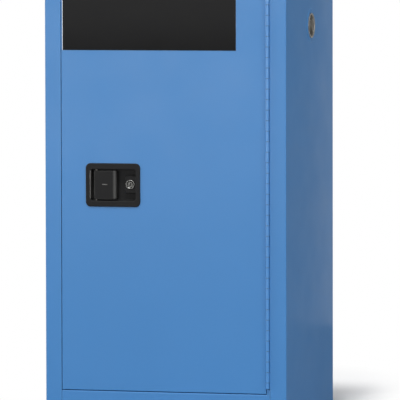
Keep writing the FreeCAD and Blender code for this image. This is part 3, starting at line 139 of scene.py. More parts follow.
shade = add(tree, "ShaderNodeMix", {"Factor": ray.outputs["Is Camera Ray"], 6: shine.outputs[2],
                                    7: linear("#FFFFFF")}, data_type="RGBA")
matt = add(tree, "ShaderNodeBsdfDiffuse", {"Color": shade.outputs[2]})
white = add(tree, "ShaderNodeEmission", {"Color": linear("#FFFFFF"), "Strength": 1.0})
oval = add(tree, "ShaderNodeVectorMath", {0: here, 1: (SHADOW_SLIM, 1.0, 1.0)}, operation="MULTIPLY")
reach = add(tree, "ShaderNodeVectorMath", {0: oval.outputs["Vector"]}, operation="LENGTH")
far = add(tree, "ShaderNodeMapRange", {"Value": reach.outputs["Value"], "From Min": SHADOW_REACH,
                                       "From Max": SHADOW_END}, interpolation_type="SMOOTHSTEP")
blank = add(tree, "ShaderNodeMath", {0: far.outputs["Result"], 1: ray.outputs["Is Camera Ray"]},
            operation="MULTIPLY")
sweep = add(tree, "ShaderNodeMixShader", {"Fac": blank.outputs["Value"], 1: matt.outputs["BSDF"],
                                          2: white.outputs["Emission"]})
add(tree, "ShaderNodeOutputMaterial", {"Surface": sweep.outputs["Shader"]})
floor_mesh.materials.append(paper)

LAMPS = (  # name, where it stands, what it points at, watts, width and height
    ("front_lamp", (-0.9, -3.3, 0.9), (0.0, -0.23, 0.7), 13.2, 1.4, 0.8),
    ("right_lamp", (3.0, -1.6, 1.4), (0.3, -0.1, 0.6), 29, 1.0, 1.6),
    ("right_front_lamp", (1.9, -3.2, 1.3), (0.1, -0.2, 0.6), 9.4, 0.6, 1.8),
    ("left_lamp", (-3.0, -1.3, 1.2), (0.0, -0.25, 0.6), 29, 0.35, 2.2),
    ("rear_lamp", (0.36, 0.36, 0.7), (0.305, 0.1, 0.7), 0.068, 0.06, 1.0),
    ("back_lamp", (-0.6, 3.6, 0.45), (0.0, 0.23, 0.55), 12, 2.0, 0.5),
)


def put_up(name, kind, power, place, aim):
    """A lamp on its stand, pointed at a place."""
    lamp = bpy.data.lights.new(name, kind)
    lamp.energy = power
    stand = bpy.data.objects.new(name, lamp)
    stand.location = place
    stand.rotation_euler = (Vector(aim) - Vector(place)).to_track_quat("-Z", "Y").to_euler()
    bpy.context.scene.collection.objects.link(stand)
    return lamp


put_up("key_lamp", "SUN", 2.16, (0.12, -1.55, 2.9), (0.0, 0.0, 0.0)).angle = math.radians(15)
for name, place, aim, power, wide, high in LAMPS:
    panel = put_up(name, "AREA", power, place, aim)
    panel.shape = "RECTANGLE"
    panel.size = wide
    panel.size_y = high

# ---------------------------------------------------------------- outer walls
# Folded 18-gauge steel under a baked polyester powder coat, mid blue and half gloss.
# The coat lies in soft orange-peel waves, a little paler where it has run thin, and worn pale on sharp edges.
MM = 0.001
COAT = "#3977B1"
COAT_THIN = "#3D7CB8"
COAT_RUBBED = "#7FA9CF"
TINT_DRIFT = 1 / 3  # metres from one paler patch to the next
PEEL = 6 * MM  # real waves are 2 to 3 mm; drawn coarser so that they show
SHEET_ROUND = 0.8 * MM  # how far the coat softens an edge
COAT_GRIT = 1.6 * MM  # real grains of powder are under 0.1 mm; drawn coarser so that they show
SMUDGE = 110 * MM  # where cloths and hands have dulled the gloss
COAT_EDGE = 1.2 * MM
FLAT, SHARP = 0.985, 0.75  # cosines between a face and its softened edge, where wear starts and where it is full


def new_material(name, roughness, **sockets):
    """A material with one Principled shader, and the constants that are the same all over its surface."""
    made = bpy.data.materials.new(name)
    made.use_nodes = True
    shader = made.node_tree.nodes["Principled BSDF"]
    shader.inputs["Roughness"].default_value = roughness
    for socket, value in sockets.items():
        shader.inputs[socket.replace("_", " ")].default_value = value
    return made, made.node_tree, shader


def rubbed(tree, width, most):
    """0 on flat faces, rising to the given most along edges that turn within this width."""
    true = add(tree, "ShaderNodeNewGeometry", {}).outputs["Normal"]
    eased = add(tree, "ShaderNodeBevel", {"Radius": width}, samples=4).outputs["Normal"]
    turn = add(tree, "ShaderNodeVectorMath", {0: true, 1: eased}, operation="DOT_PRODUCT")
    return add(tree, "ShaderNodeMapRange", {"Value": turn.outputs["Value"], "From Min": FLAT, "From Max": SHARP,
                                            "To Min": 0.0, "To Max": most}).outputs["Result"]


def dress(names, finish):
    """Gives CAD nodes their finish."""
    for node in names:
        cad[node].data.materials.clear()
        cad[node].data.materials.append(finish)


def powder_coated(name, full, thin, glossy, dull, worn, **sockets):
    """Powder coat between two tints and two roughnesses, with its edges worn pale by the given share."""
    made, tree, shader = new_material(name, glossy, IOR=1.5, **sockets)
    here = add(tree, "ShaderNodeTexCoord", {}).outputs["Object"]
    drift = add(tree, "ShaderNodeTexNoise", {"Vector": here, "Scale": 1 / TINT_DRIFT, "Detail": 3.0}).outputs["Fac"]
    smudges = add(tree, "ShaderNodeTexNoise", {"Vector": here, "Scale": 1 / SMUDGE, "Detail": 5.0}).outputs["Fac"]
    waves = add(tree, "ShaderNodeTexNoise", {"Vector": here, "Scale": 1 / PEEL, "Detail": 1.0}).outputs["Fac"]
    grit = add(tree, "ShaderNodeTexNoise", {"Vector": here, "Scale": 1 / COAT_GRIT, "Detail": 2.0}).outputs["Fac"]
    tint = add(tree, "ShaderNodeMix", {"Factor": drift, 6: linear(full), 7: linear(thin)}, data_type="RGBA")
    coat = add(tree, "ShaderNodeMix", {"Factor": rubbed(tree, COAT_EDGE, worn), 6: tint.outputs[2],
                                       7: linear(COAT_RUBBED)}, data_type="RGBA")
    gloss = add(tree, "ShaderNodeMapRange", {"Value": smudges, "From Min": 0.3, "From Max": 0.7,
                                             "To Min": glossy, "To Max": dull})
    drawn_round = add(tree, "ShaderNodeBevel", {"Radius": SHEET_ROUND}, samples=4).outputs["Normal"]
    peel = add(tree, "ShaderNodeBump", {"Height": waves, "Strength": 0.25, "Distance": 0.05 * MM,
                                        "Normal": drawn_round})
    grain = add(tree, "ShaderNodeBump", {"Height": grit, "Strength": 0.2, "Distance": 0.012 * MM,
                                         "Normal": peel.outputs["Normal"]})
    tree.links.new(coat.outputs[2], shader.inputs["Base Color"])
    tree.links.new(gloss.outputs["Result"], shader.inputs["Roughness"])
    tree.links.new(grain.outputs["Normal"], shader.inputs["Normal"])
    return made


powder_coat = powder_coated("blue_powder_coat", COAT, COAT_THIN, 0.33, 0.40, 0.5)
dress(("side_left", "side_right", "top_panel", "back_panel", "base_panel", "door_sill"), powder_coat)

# ---------------------------------------------------------------- inner box
# Five sheets with the same coat, duller inside, spot-welded round a sump that is seamed with weld so that it holds a
# spill. The seams are rippled beads of weld, painted over with the rest.
inside_coat = powder_coated("blue_powder_coat_inside", COAT, COAT_THIN, 0.38, 0.50, 0.3)
dress(("liner_left", "liner_right", "liner_top", "liner_back", "liner_floor", "door_stops"), inside_coat)
BEAD_R = 1.5 * MM
BEAD_PITCH = 4.0 * MM  # real ripples are about 1.5 mm; drawn coarser so that they show
BEAD_SIDES = 8
BEAD_SWELL = (0.78, 1.0, 1.04, 0.9)  # width through one ripple
BEAD_IN = 0.4 * MM  # the bead's middle stands this far out of the corner
BEAD_CLEAR = 2 * MM  # and its ends this far from the sheets across it
BEAD_BELOW = 6 * MM  # and its top this far below the ledge
CREASE = math.radians(38)


def finished(name, bm, body, finishes):
    """The bmesh as a piece that rides on a body, smooth except across its sharp edges."""
    bmesh.ops.remove_doubles(bm, verts=bm.verts[:], dist=1e-6)
    bmesh.ops.recalc_face_normals(bm, faces=bm.faces[:])
    mesh = bpy.data.meshes.new(name)
    bm.to_mesh(mesh)
    bm.free()
    mesh.shade_smooth()
    mesh.set_sharp_from_angle(angle=CREASE)
    for finish in finishes:
        mesh.materials.append(finish)
    made = bpy.data.objects.new(name, mesh)
    bpy.context.scene.collection.objects.link(made)
    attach(made, body)
    return made


def weld_run(bm, start, end):
    """A rippled round bead from one point to the other, closed at both ends."""
    way = end - start
    turned = way.to_track_quat("Z", "Y").to_matrix().to_4x4()
    place = Matrix.Translation(start) @ turned
    ring = bmesh.ops.create_circle(bm, cap_ends=True, radius=BEAD_R, segments=BEAD_SIDES, matrix=place)["verts"]
    cap = ring[0].link_faces[0]
    steps = int(way.length / BEAD_PITCH) * len(BEAD_SWELL)
    step = way / steps
    centre, width = start, 1.0
    for i in range(steps):
        drawn = bmesh.ops.extrude_face_region(bm, geom=[cap])["geom"]
        if i:
            bmesh.ops.delete(bm, geom=[cap], context="FACES_ONLY")
        cap = next(f for f in drawn if isinstance(f, bmesh.types.BMFace))
        centre, swell = centre + step, BEAD_SWELL[i % len(BEAD_SWELL)]
        bmesh.ops.translate(bm, verts=cap.verts[:], vec=step)
        bmesh.ops.scale(bm, verts=cap.verts[:], vec=(swell / width,) * 3, space=Matrix.Translation(-centre))
        width = swell


sill_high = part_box("door_sill")[1]
wall_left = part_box("liner_left")[1].x
wall_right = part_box("liner_right")[0].x
sump_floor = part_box("liner_floor")[1].z
bm = bmesh.new()
seam_y = sill_high.y + BEAD_IN
for x in (wall_left + BEAD_IN, wall_right - BEAD_IN):
    weld_run(bm, Vector((x, seam_y, sump_floor + BEAD_CLEAR)), Vector((x, seam_y, sill_high.z - BEAD_BELOW)))
weld_run(bm, Vector((wall_left + BEAD_CLEAR, seam_y, sump_floor + BEAD_IN)),
         Vector((wall_right - BEAD_CLEAR, seam_y, sump_floor + BEAD_IN)))
finished("sump_welds", bm, "cabinet", [inside_coat])

# ---------------------------------------------------------------- shelf strips and clips
# Slotted strips and hooked clips pressed from thin steel and plated with bright zinc.
# The plate is a dull silver with cloudy patches, fine rolling lines along the strip and brighter edges.
ZINC_DULL = "#9FA19D"
ZINC_BRIGHT = "#C9C8C0"
METAL_RUBBED = "#D8D7D2"
METAL_EDGE = 0.8 * MM
ROLLING = 1.5 * MM  # real rolling lines are finer than 0.2 mm; drawn coarser so that they show


def bare_metal(name, dull, bright, rough, cloud, lines, metallic=1.0):
    """Metal between two colours and two roughnesses in clouds of a size, with upright lines of a strength.

    It is less than wholly metallic where a dull film covers it.
    """
    made, tree, shader = new_material(name, rough[0], Metallic=metallic)
    here = add(tree, "ShaderNodeTexCoord", {}).outputs["Object"]
    clouds = add(tree, "ShaderNodeTexNoise", {"Vector": here, "Scale": 1 / cloud, "Detail": 4.0}).outputs["Fac"]
    drawn = add(tree, "ShaderNodeMapping", {"Vector": here, "Scale": (1.0, 1.0, 0.08)}).outputs["Vector"]
    streaks = add(tree, "ShaderNodeTexNoise", {"Vector": drawn, "Scale": 1 / ROLLING, "Detail": 2.0}).outputs["Fac"]
    patchy = add(tree, "ShaderNodeMapRange", {"Value": clouds, "From Min": 0.3, "From Max": 0.7}).outputs["Result"]
    silver = add(tree, "ShaderNodeMix", {"Factor": patchy, 6: linear(dull), 7: linear(bright)}, data_type="RGBA")
    metal = add(tree, "ShaderNodeMix", {"Factor": rubbed(tree, METAL_EDGE, 0.6), 6: silver.outputs[2],
                                        7: linear(METAL_RUBBED)}, data_type="RGBA")
    sheen = add(tree, "ShaderNodeMapRange", {"Value": clouds, "From Min": 0.3, "From Max": 0.7,
                                             "To Min": rough[0], "To Max": rough[1]})
    scored = add(tree, "ShaderNodeBump", {"Height": streaks, "Strength": lines, "Distance": 0.02 * MM})
    tree.links.new(metal.outputs[2], shader.inputs["Base Color"])
    tree.links.new(sheen.outputs["Result"], shader.inputs["Roughness"])
    tree.links.new(scored.outputs["Normal"], shader.inputs["Normal"])
    return made


zinc_plate = bare_metal("bright_zinc_plate", ZINC_DULL, ZINC_BRIGHT, (0.28, 0.46), 11 * MM, 0.5)
dress(("shelf_standards", "shelf_clips"), zinc_plate)

# ---------------------------------------------------------------- vents
# Two 2 in pipe bungs pressed into the side, painted with it, with a tube through the wall and gauze behind.
# Each is closed by a drawn steel plug, zinc plated and dulled by its passivating, on a black rubber ring.
dress(("vent_tubes", "vent_bungs"), powder_coat)
# Drawn and passivated zinc plate is smooth and softly bright, with wide pale clouds and hardly any lines.
passivated = bare_metal("passivated_zinc", "#9A9893", "#D4D3D0", (0.16, 0.24), 30 * MM, 0.08, 0.82)
dress(("vent_plug_right", "vent_plug_left"), passivated)

# Woven wire is a grey grid, with dark gaps where the tube shows through.
WIRE = 1.6 * MM  # real wires are 0.4 mm apart; drawn coarser so that they show
WAVE = 0.314  # a wave texture of scale 1 repeats after this many metres
gauze, tree, shader = new_material("steel_gauze", 0.35, Metallic=1.0)
here = add(tree, "ShaderNodeTexCoord", {}).outputs["Object"]
across = add(tree, "ShaderNodeTexWave", {"Vector": here, "Scale": WAVE / WIRE}, bands_direction="Y")
along = add(tree, "ShaderNodeTexWave", {"Vector": here, "Scale": WAVE / WIRE}, bands_direction="Z")
woven = add(tree, "ShaderNodeMath", {0: across.outputs["Fac"], 1: along.outputs["Fac"]}, operation="MULTIPLY")
wires = add(tree, "ShaderNodeMix", {"Factor": woven.outputs["Value"], 6: linear("#A9A8A2"), 7: linear("#2B2B2A")},
            data_type="RGBA")
depth = add(tree, "ShaderNodeBump", {"Height": woven.outputs["Value"], "Strength": 0.8, "Distance": 0.2 * MM},
            invert=True)
tree.links.new(wires.outputs[2], shader.inputs["Base Color"])
tree.links.new(depth.outputs["Normal"], shader.inputs["Normal"])
dress(("flame_arresters",), gauze)

# Moulded rubber is a dull black with a faint grey bloom, and scuffed paler on its edges.
RUBBER_EDGE = 1.5 * MM
RUBBER_BLOOM = 18 * MM
RUBBER_GRAIN = 1.8 * MM  # real moulded grain is about 0.3 mm; drawn coarser so that it shows
rubber, tree, shader = new_material("moulded_rubber", 0.7, Specular_IOR_Level=0.35)
here = add(tree, "ShaderNodeTexCoord", {}).outputs["Object"]
bloom = add(tree, "ShaderNodeTexNoise", {"Vector": here, "Scale": 1 / RUBBER_BLOOM, "Detail": 4.0}).outputs["Fac"]
grain = add(tree, "ShaderNodeTexNoise", {"Vector": here, "Scale": 1 / RUBBER_GRAIN, "Detail": 2.0}).outputs["Fac"]
black = add(tree, "ShaderNodeMix", {"Factor": bloom, 6: linear("#161617"), 7: linear("#2A2A2B")}, data_type="RGBA")
scuffed = add(tree, "ShaderNodeMix", {"Factor": rubbed(tree, RUBBER_EDGE, 0.5), 6: black.outputs[2],
                                      7: linear("#4B4A48")}, data_type="RGBA")
dusty = add(tree, "ShaderNodeMapRange", {"Value": bloom, "From Min": 0.3, "From Max": 0.7,
                                         "To Min": 0.58, "To Max": 0.82})
skin = add(tree, "ShaderNodeBump", {"Height": grain, "Strength": 0.4, "Distance": 0.08 * MM})
tree.links.new(scuffed.outputs[2], shader.inputs["Base Color"])
tree.links.new(dusty.outputs["Result"], shader.inputs["Roughness"])
tree.links.new(skin.outputs["Normal"], shader.inputs["Normal"])
dress(("vent_gasket_right", "vent_gasket_left"), rubber)

# ---------------------------------------------------------------- piano hinge
# A rolled strip hinge as long as the door, welded to both edges and sprayed with the cabinet.
# The coat is glossier on the rolled knuckles, and paler there as painted highlight. It doesn't reach the steel pin in
# the joints between them, and the knuckles' ends beside each joint are darkened with painted shade.
# Painted highlight: both hinge tints are paler than the cabinet's coat, so the knuckles look lit.
HIGHLIT_HINGE_COAT = "#3D7FBD"
HIGHLIT_HINGE_COAT_THIN = "#4385C3"
JOINT_SHADE = "#1C4C82"
highlit_hinge_coat = powder_coated("blue_powder_coat_hinge_highlit", HIGHLIT_HINGE_COAT, HIGHLIT_HINGE_COAT_THIN, 0.27, 0.35, 0.5,
                           Specular_IOR_Level=0.9)
KNUCKLE_PITCH = 25.4 * MM
FIRST_JOINT = 14.8 * MM  # above the lowest knuckle's end
JOINT_HALF = 0.4 * MM
JOINT_SHADE_REACH = 2.0 * MM  # how far the painted shade of a joint reaches over the knuckles beside it
JOINT_SHADE_SHARE = 0.4
tree = highlit_hinge_coat.node_tree
shader = tree.nodes["Principled BSDF"]
lowest = min(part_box(leaf)[0].z for leaf in ("hinge_leaf_door", "hinge_leaf_frame"))
here = add(tree, "ShaderNodeTexCoord", {}).outputs["Object"]
along = add(tree, "ShaderNodeSeparateXYZ", {"Vector": here}).outputs["Z"]
above = add(tree, "ShaderNodeMath", {0: along, 1: lowest + FIRST_JOINT}, operation="SUBTRACT").outputs["Value"]
off = add(tree, "ShaderNodeMath", {0: above, 1: KNUCKLE_PITCH / 2}, operation="PINGPONG").outputs["Value"]
# Painted shade: the knuckles darken towards each joint.
joint_shade = add(tree, "ShaderNodeMapRange", {"Value": off, "From Min": JOINT_HALF, "From Max": JOINT_SHADE_REACH,
                                        "To Min": JOINT_SHADE_SHARE, "To Max": 0.0}).outputs["Result"]
unshaded_coat = shader.inputs["Base Color"].links[0].from_socket
joint_shaded = add(tree, "ShaderNodeMix", {"Factor": joint_shade, 6: unshaded_coat, 7: linear(JOINT_SHADE)}, data_type="RGBA")
tree.links.new(joint_shaded.outputs[2], shader.inputs["Base Color"])
dress(("hinge_leaf_frame", "hinge_leaf_door", "hinge_packing"), highlit_hinge_coat)

# The pin is drawn steel, bare between the knuckles and painted at both ends. Between the knuckles it is bare steel
# mottled with oil, and its dark blue-black there is painted shade in the joints.
low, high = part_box("hinge_leaf_door")
pin_finish, tree, shader = new_material("steel_pin_painted_at_its_ends", 0.45, Specular_IOR_Level=0.4)
here = add(tree, "ShaderNodeTexCoord", {}).outputs["Object"]
along = add(tree, "ShaderNodeSeparateXYZ", {"Vector": here}).outputs["Z"]
foot = add(tree, "ShaderNodeMath", {0: along, 1: low.z}, operation="LESS_THAN").outputs["Value"]
head = add(tree, "ShaderNodeMath", {0: along, 1: high.z}, operation="GREATER_THAN").outputs["Value"]
ends = add(tree, "ShaderNodeMath", {0: foot, 1: head}, operation="ADD", use_clamp=True).outputs["Value"]
oil = add(tree, "ShaderNodeTexNoise", {"Vector": here, "Scale": 1 / PEEL, "Detail": 3.0}).outputs["Fac"]
dark = add(tree, "ShaderNodeMix", {"Factor": oil, 6: linear("#1A3350"), 7: linear("#254468")}, data_type="RGBA")
pin = add(tree, "ShaderNodeMix", {"Factor": ends, 6: dark.outputs[2], 7: linear(COAT_THIN)}, data_type="RGBA")
slick = add(tree, "ShaderNodeMapRange", {"Value": oil, "To Min": 0.32, "To Max": 0.55})
tree.links.new(pin.outputs[2], shader.inputs["Base Color"])
tree.links.new(slick.outputs["Result"], shader.inputs["Roughness"])
dress(("hinge_pin",), pin_finish)

# ---------------------------------------------------------------- door
# A deep folded pan with a lining sheet let into its back, both powder coated.
# A cover plate on the lining, held by four plated screws, gives access to the rods.
dress(("door_skin",), powder_coat)
dress(("door_liner", "latch_cover"), inside_coat)
dress(("cover_screws",), zinc_plate)

# ---------------------------------------------------------------- sign
# A thin calendered vinyl sheet, white right through, screen-printed in black and glued to the door.
# The print stops short of the trimmed left edge, so a white hairline is left there.
SIGN_CORNER = 0.8 * MM
SIGN_SOFT = 0.12 * MM
SIGN_MARGIN = 1.3 * MM
VINYL_DRIFT = 45 * MM
VINYL_GRAIN = 2.0 * MM  # real calender grain is about 0.3 mm; drawn coarser so that it shows


def plate_facing(x0, x1, z0, z1, behind, ahead, corner, soft):
    """A plate that faces the front, with rounded corners and a softened front rim."""
    bm = bmesh.new()
    outline = [bm.verts.new((x, behind, z)) for x, z in ((x0, z0), (x1, z0), (x1, z1), (x0, z1))]
    bm.faces.new(outline)
    bmesh.ops.bevel(bm, geom=outline, offset=corner, affect="VERTICES", segments=6, profile=0.5, material=-1)
    drawn = bmesh.ops.extrude_face_region(bm, geom=bm.faces[:])["geom"]
    face = [v for v in drawn if isinstance(v, bmesh.types.BMVert)]
    bmesh.ops.translate(bm, verts=face, vec=(0, ahead - behind, 0))
    rim = [e for e in drawn if isinstance(e, bmesh.types.BMEdge)]
    bmesh.ops.bevel(bm, geom=rim, offset=soft, affect="EDGES", segments=2, profile=0.5, material=-1)
    return bm


# Screen ink on vinyl is a satin black that drifts a little in shade and gloss over a faint rolled grain.
printed, tree, shader = new_material("black_printed_vinyl", 0.55, Specular_IOR_Level=0.17)
here = add(tree, "ShaderNodeTexCoord", {}).outputs["Object"]
drift = add(tree, "ShaderNodeTexNoise", {"Vector": here, "Scale": 1 / VINYL_DRIFT, "Detail": 4.0}).outputs["Fac"]
rolled = add(tree, "ShaderNodeMapping", {"Vector": here, "Scale": (0.3, 1.0, 1.0)}).outputs["Vector"]
grain = add(tree, "ShaderNodeTexNoise", {"Vector": rolled, "Scale": 1 / VINYL_GRAIN, "Detail": 2.0}).outputs["Fac"]
ink = add(tree, "ShaderNodeMix", {"Factor": drift, 6: linear("#131313"), 7: linear("#19191A")}, data_type="RGBA")
satin = add(tree, "ShaderNodeMapRange", {"Value": drift, "From Min": 0.3, "From Max": 0.7,
                                         "To Min": 0.48, "To Max": 0.60})
skin = add(tree, "ShaderNodeBump", {"Height": grain, "Strength": 0.15, "Distance": 0.03 * MM})
tree.links.new(ink.outputs[2], shader.inputs["Base Color"])
tree.links.new(satin.outputs["Result"], shader.inputs["Roughness"])
tree.links.new(skin.outputs["Normal"], shader.inputs["Normal"])

# The bare vinyl is a cool white, greyer in places.
unprinted, tree, shader = new_material("white_vinyl", 0.5, Specular_IOR_Level=0.4)
here = add(tree, "ShaderNodeTexCoord", {}).outputs["Object"]
grey = add(tree, "ShaderNodeTexNoise", {"Vector": here, "Scale": 1 / VINYL_DRIFT, "Detail": 4.0}).outputs["Fac"]
base = add(tree, "ShaderNodeMix", {"Factor": grey, 6: linear("#D5D7D8"), 7: linear("#F0F1F2")}, data_type="RGBA")
grain = add(tree, "ShaderNodeTexNoise", {"Vector": here, "Scale": 1 / VINYL_GRAIN, "Detail": 2.0}).outputs["Fac"]
matt = add(tree, "ShaderNodeMapRange", {"Value": grain, "To Min": 0.42, "To Max": 0.58})
tree.links.new(base.outputs[2], shader.inputs["Base Color"])
tree.links.new(matt.outputs["Result"], shader.inputs["Roughness"])

low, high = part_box("sign_plate")
bm = plate_facing(low.x, high.x, low.z, high.z, high.y, low.y, SIGN_CORNER, SIGN_SOFT)
printed_from = low.x + SIGN_MARGIN
bmesh.ops.bisect_plane(bm, geom=bm.verts[:] + bm.edges[:] + bm.faces[:], dist=1e-7,
                       plane_co=(printed_from, 0, 0), plane_no=(1, 0, 0))
for face in bm.faces:
    on_front = face.normal.y < -0.5
    face.material_index = 0 if on_front and face.calc_center_median().x > printed_from else 1
sign = finished("sign_vinyl", bm, "door", [printed, unprinted])
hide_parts("sign_plate")

# ---------------------------------------------------------------- paddle latch
# A zinc die casting with a recessed pan, and a paddle of the same, under black stove enamel.
# The enamel is half gloss over a finely pebbled casting, worn grey on its edges. Upright bands of grey metal on the
# pan's left rim, the paddle's bend and its rolled edge are wear and painted highlight.
ENAMEL_DRIFT = 25 * MM
CAST_GRAIN = 1.6 * MM  # the casting's real grain is about 0.3 mm; drawn coarser so that it shows
RIB_X, RIB_Z = -152.4 * MM, 579.8 * MM
RIB_LONG, RIB_HIGH, RIB_PROUD = 13.0 * MM, 1.8 * MM, 0.6 * MM
RIB_ROOT, RIB_CORNER, RIB_SOFT = 0.3 * MM, 0.85 * MM, 0.35 * MM
BAND_HALF = 34 * MM  # the bands reach this far above and below the middle
RIM_WEAR_AND_HIGHLIGHT = (-188.9 * MM, 1.1 * MM, 0.9)  # middle, half the width and strength of a band of wear and painted highlight
BEND_WEAR_AND_HIGHLIGHT = (-178.9 * MM, 1.5 * MM, 0.3)
ROLL_WEAR_AND_HIGHLIGHT = (-127.4 * MM, 5.0 * MM, 0.26)
ENAMEL_EDGE = 2.4 * MM
CAST_ROUND = 1.6 * MM


def stove_enamel(name, wear_highlight_bands):
    """Black enamel, worn grey on its edges and in upright bands of wear and painted highlight: each band has its
    middle, half its width and its strength.
    """
    made, tree, shader = new_material(name, 0.38, Specular_IOR_Level=0.11)
    here = add(tree, "ShaderNodeTexCoord", {}).outputs["Object"]
    axes = add(tree, "ShaderNodeSeparateXYZ", {"Vector": here})
    drift = add(tree, "ShaderNodeTexNoise", {"Vector": here, "Scale": 1 / ENAMEL_DRIFT, "Detail": 4.0}).outputs["Fac"]
    grain = add(tree, "ShaderNodeTexNoise", {"Vector": here, "Scale": 1 / CAST_GRAIN, "Detail": 2.0}).outputs["Fac"]
    rise = add(tree, "ShaderNodeMath", {0: axes.outputs["Z"], 1: RIB_Z, 2: BAND_HALF}, operation="COMPARE")
    wear_and_highlight = rubbed(tree, ENAMEL_EDGE, 0.4)
    # Each band is metallic grey where a rim or bend should catch the lamps, so it is painted highlight as well as
    # wear.
    for middle, half, most in wear_highlight_bands:
        off = add(tree, "ShaderNodeMath", {0: axes.outputs["X"], 1: middle}, operation="SUBTRACT").outputs["Value"]
        away = add(tree, "ShaderNodeMath", {0: off}, operation="ABSOLUTE").outputs["Value"]
        band = add(tree, "ShaderNodeMapRange", {"Value": away, "From Min": half, "From Max": 0.3 * half,
                                                "To Min": 0.0, "To Max": most}).outputs["Result"]
        kept = add(tree, "ShaderNodeMath", {0: band, 1: rise.outputs["Value"]}, operation="MULTIPLY").outputs["Value"]
        wear_and_highlight = add(tree, "ShaderNodeMath", {0: wear_and_highlight, 1: kept}, operation="MAXIMUM").outputs["Value"]
    black = add(tree, "ShaderNodeMix", {"Factor": drift, 6: linear("#191919"), 7: linear("#1F1F20")},
                data_type="RGBA")
    worn = add(tree, "ShaderNodeMix", {"Factor": wear_and_highlight, 6: black.outputs[2], 7: linear("#8A8A88")},
               data_type="RGBA")
    gloss = add(tree, "ShaderNodeMapRange", {"Value": drift, "From Min": 0.3, "From Max": 0.7,
                                             "To Min": 0.30, "To Max": 0.42})
    cast_round = add(tree, "ShaderNodeBevel", {"Radius": CAST_ROUND}, samples=8).outputs["Normal"]
    pebbled = add(tree, "ShaderNodeBump", {"Height": grain, "Strength": 0.2, "Distance": 0.04 * MM,
                                           "Normal": cast_round})
    tree.links.new(worn.outputs[2], shader.inputs["Base Color"])
    tree.links.new(wear_and_highlight, shader.inputs["Metallic"])
    tree.links.new(gloss.outputs["Result"], shader.inputs["Roughness"])
    tree.links.new(pebbled.outputs["Normal"], shader.inputs["Normal"])
    return made


dress(("latch_housing",), stove_enamel("black_stove_enamel", (RIM_WEAR_AND_HIGHLIGHT,)))
dress(("paddle",), stove_enamel("black_stove_enamel_paddle", (BEND_WEAR_AND_HIGHLIGHT, ROLL_WEAR_AND_HIGHLIGHT)))

# The raised rib has lost its enamel, and shows the dull grey of the casting.
low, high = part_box("paddle")
bm = plate_facing(RIB_X - RIB_LONG / 2, RIB_X + RIB_LONG / 2, RIB_Z - RIB_HIGH / 2, RIB_Z + RIB_HIGH / 2,
                  low.y + RIB_ROOT, low.y - RIB_PROUD, RIB_CORNER, RIB_SOFT)
worn_metal = bare_metal("rubbed_zinc_casting", "#6F6F6D", "#9A9A97", (0.34, 0.48), 4 * MM, 0.3)
finished("paddle_rib", bm, "paddle", [worn_metal])

# ---------------------------------------------------------------- cam lock
# A turned barrel with a dished bezel, nickel plated and chromed, round a brass plug with the same plate.
# The rim is bright with fine turned rings, and the dish is dark with painted shade.
TURNED = 1.0 * MM  # real tool marks are about 0.1 mm apart; drawn coarser so that they show
DISH_R = 9.2 * MM
DISH_SHADE_IN, DISH_SHADE_OUT = 1.0 * MM, 0.3 * MM  # the painted shade fades out between these two sides of the dish's edge
HAZE = 4 * MM
low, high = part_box("lock_plug")
LOCK_AXIS = ((low.x + high.x) / 2, 0.0, (low.z + high.z) / 2)
chrome, tree, shader = new_material("turned_chrome_plate", 0.16, Metallic=1.0)
here = add(tree, "ShaderNodeTexCoord", {}).outputs["Object"]
centred = add(tree, "ShaderNodeMapping", {"Vector": here, "Location": [-c for c in LOCK_AXIS]}).outputs["Vector"]
flat = add(tree, "ShaderNodeVectorMath", {0: centred, 1: (1.0, 0.0, 1.0)}, operation="MULTIPLY").outputs["Vector"]
radius = add(tree, "ShaderNodeVectorMath", {0: flat}, operation="LENGTH").outputs["Value"]
rings = add(tree, "ShaderNodeMath", {0: radius, 1: 2 * math.pi / TURNED}, operation="MULTIPLY")
ridge = add(tree, "ShaderNodeMath", {0: rings.outputs["Value"]}, operation="SINE").outputs["Value"]
haze = add(tree, "ShaderNodeTexNoise", {"Vector": here, "Scale": 1 / HAZE, "Detail": 4.0}).outputs["Fac"]
# Painted shade: the dish is dark, fading out across its edge.
dish_shade = add(tree, "ShaderNodeMapRange", {"Value": radius, "From Min": DISH_R - DISH_SHADE_IN,
                                         "From Max": DISH_R + DISH_SHADE_OUT}).outputs["Result"]
bright = add(tree, "ShaderNodeMix", {"Factor": dish_shade, 6: linear("#262626"), 7: linear("#70706E")}, data_type="RGBA")
polish = add(tree, "ShaderNodeMapRange", {"Value": haze, "From Min": 0.3, "From Max": 0.7,
                                          "To Min": 0.12, "To Max": 0.26})
lathe = add(tree, "ShaderNodeBump", {"Height": ridge, "Strength": 0.3, "Distance": 0.02 * MM})
tree.links.new(bright.outputs[2], shader.inputs["Base Color"])
tree.links.new(polish.outputs["Result"], shader.inputs["Roughness"])
tree.links.new(lathe.outputs["Normal"], shader.inputs["Normal"])
dress(("lock_barrel",), chrome)
# Keys have scratched the plug's nickel plate, so it is dark grey with brighter patches.
plug_plate = bare_metal("worn_nickel_plate", "#3C3C3B", "#626260", (0.14, 0.28), 3 * MM, 0.3)
dress(("lock_plug",), plug_plate)
dress(("lock_nut", "lock_cam"), zinc_plate)

# ---------------------------------------------------------------- bolt, rods and their fixings
# Pressed and turned steel parts inside the door, blackened and oiled, with plated guides and nuts.
# The steel is dark with brown patches of old oil, and bright where parts slide.
oiled_steel = bare_metal("oiled_steel", "#5B5855", "#83807B", (0.30, 0.48), 16 * MM, 0.5)
dress(("centre_bolt", "latch_rotor", "top_rod", "bottom_rod", "strike_plates", "paddle_pin", "paddle_spring"),
      oiled_steel)
dress(("latch_nuts", "latch_clamp", "rod_guides", "bolt_guide"), zinc_plate)

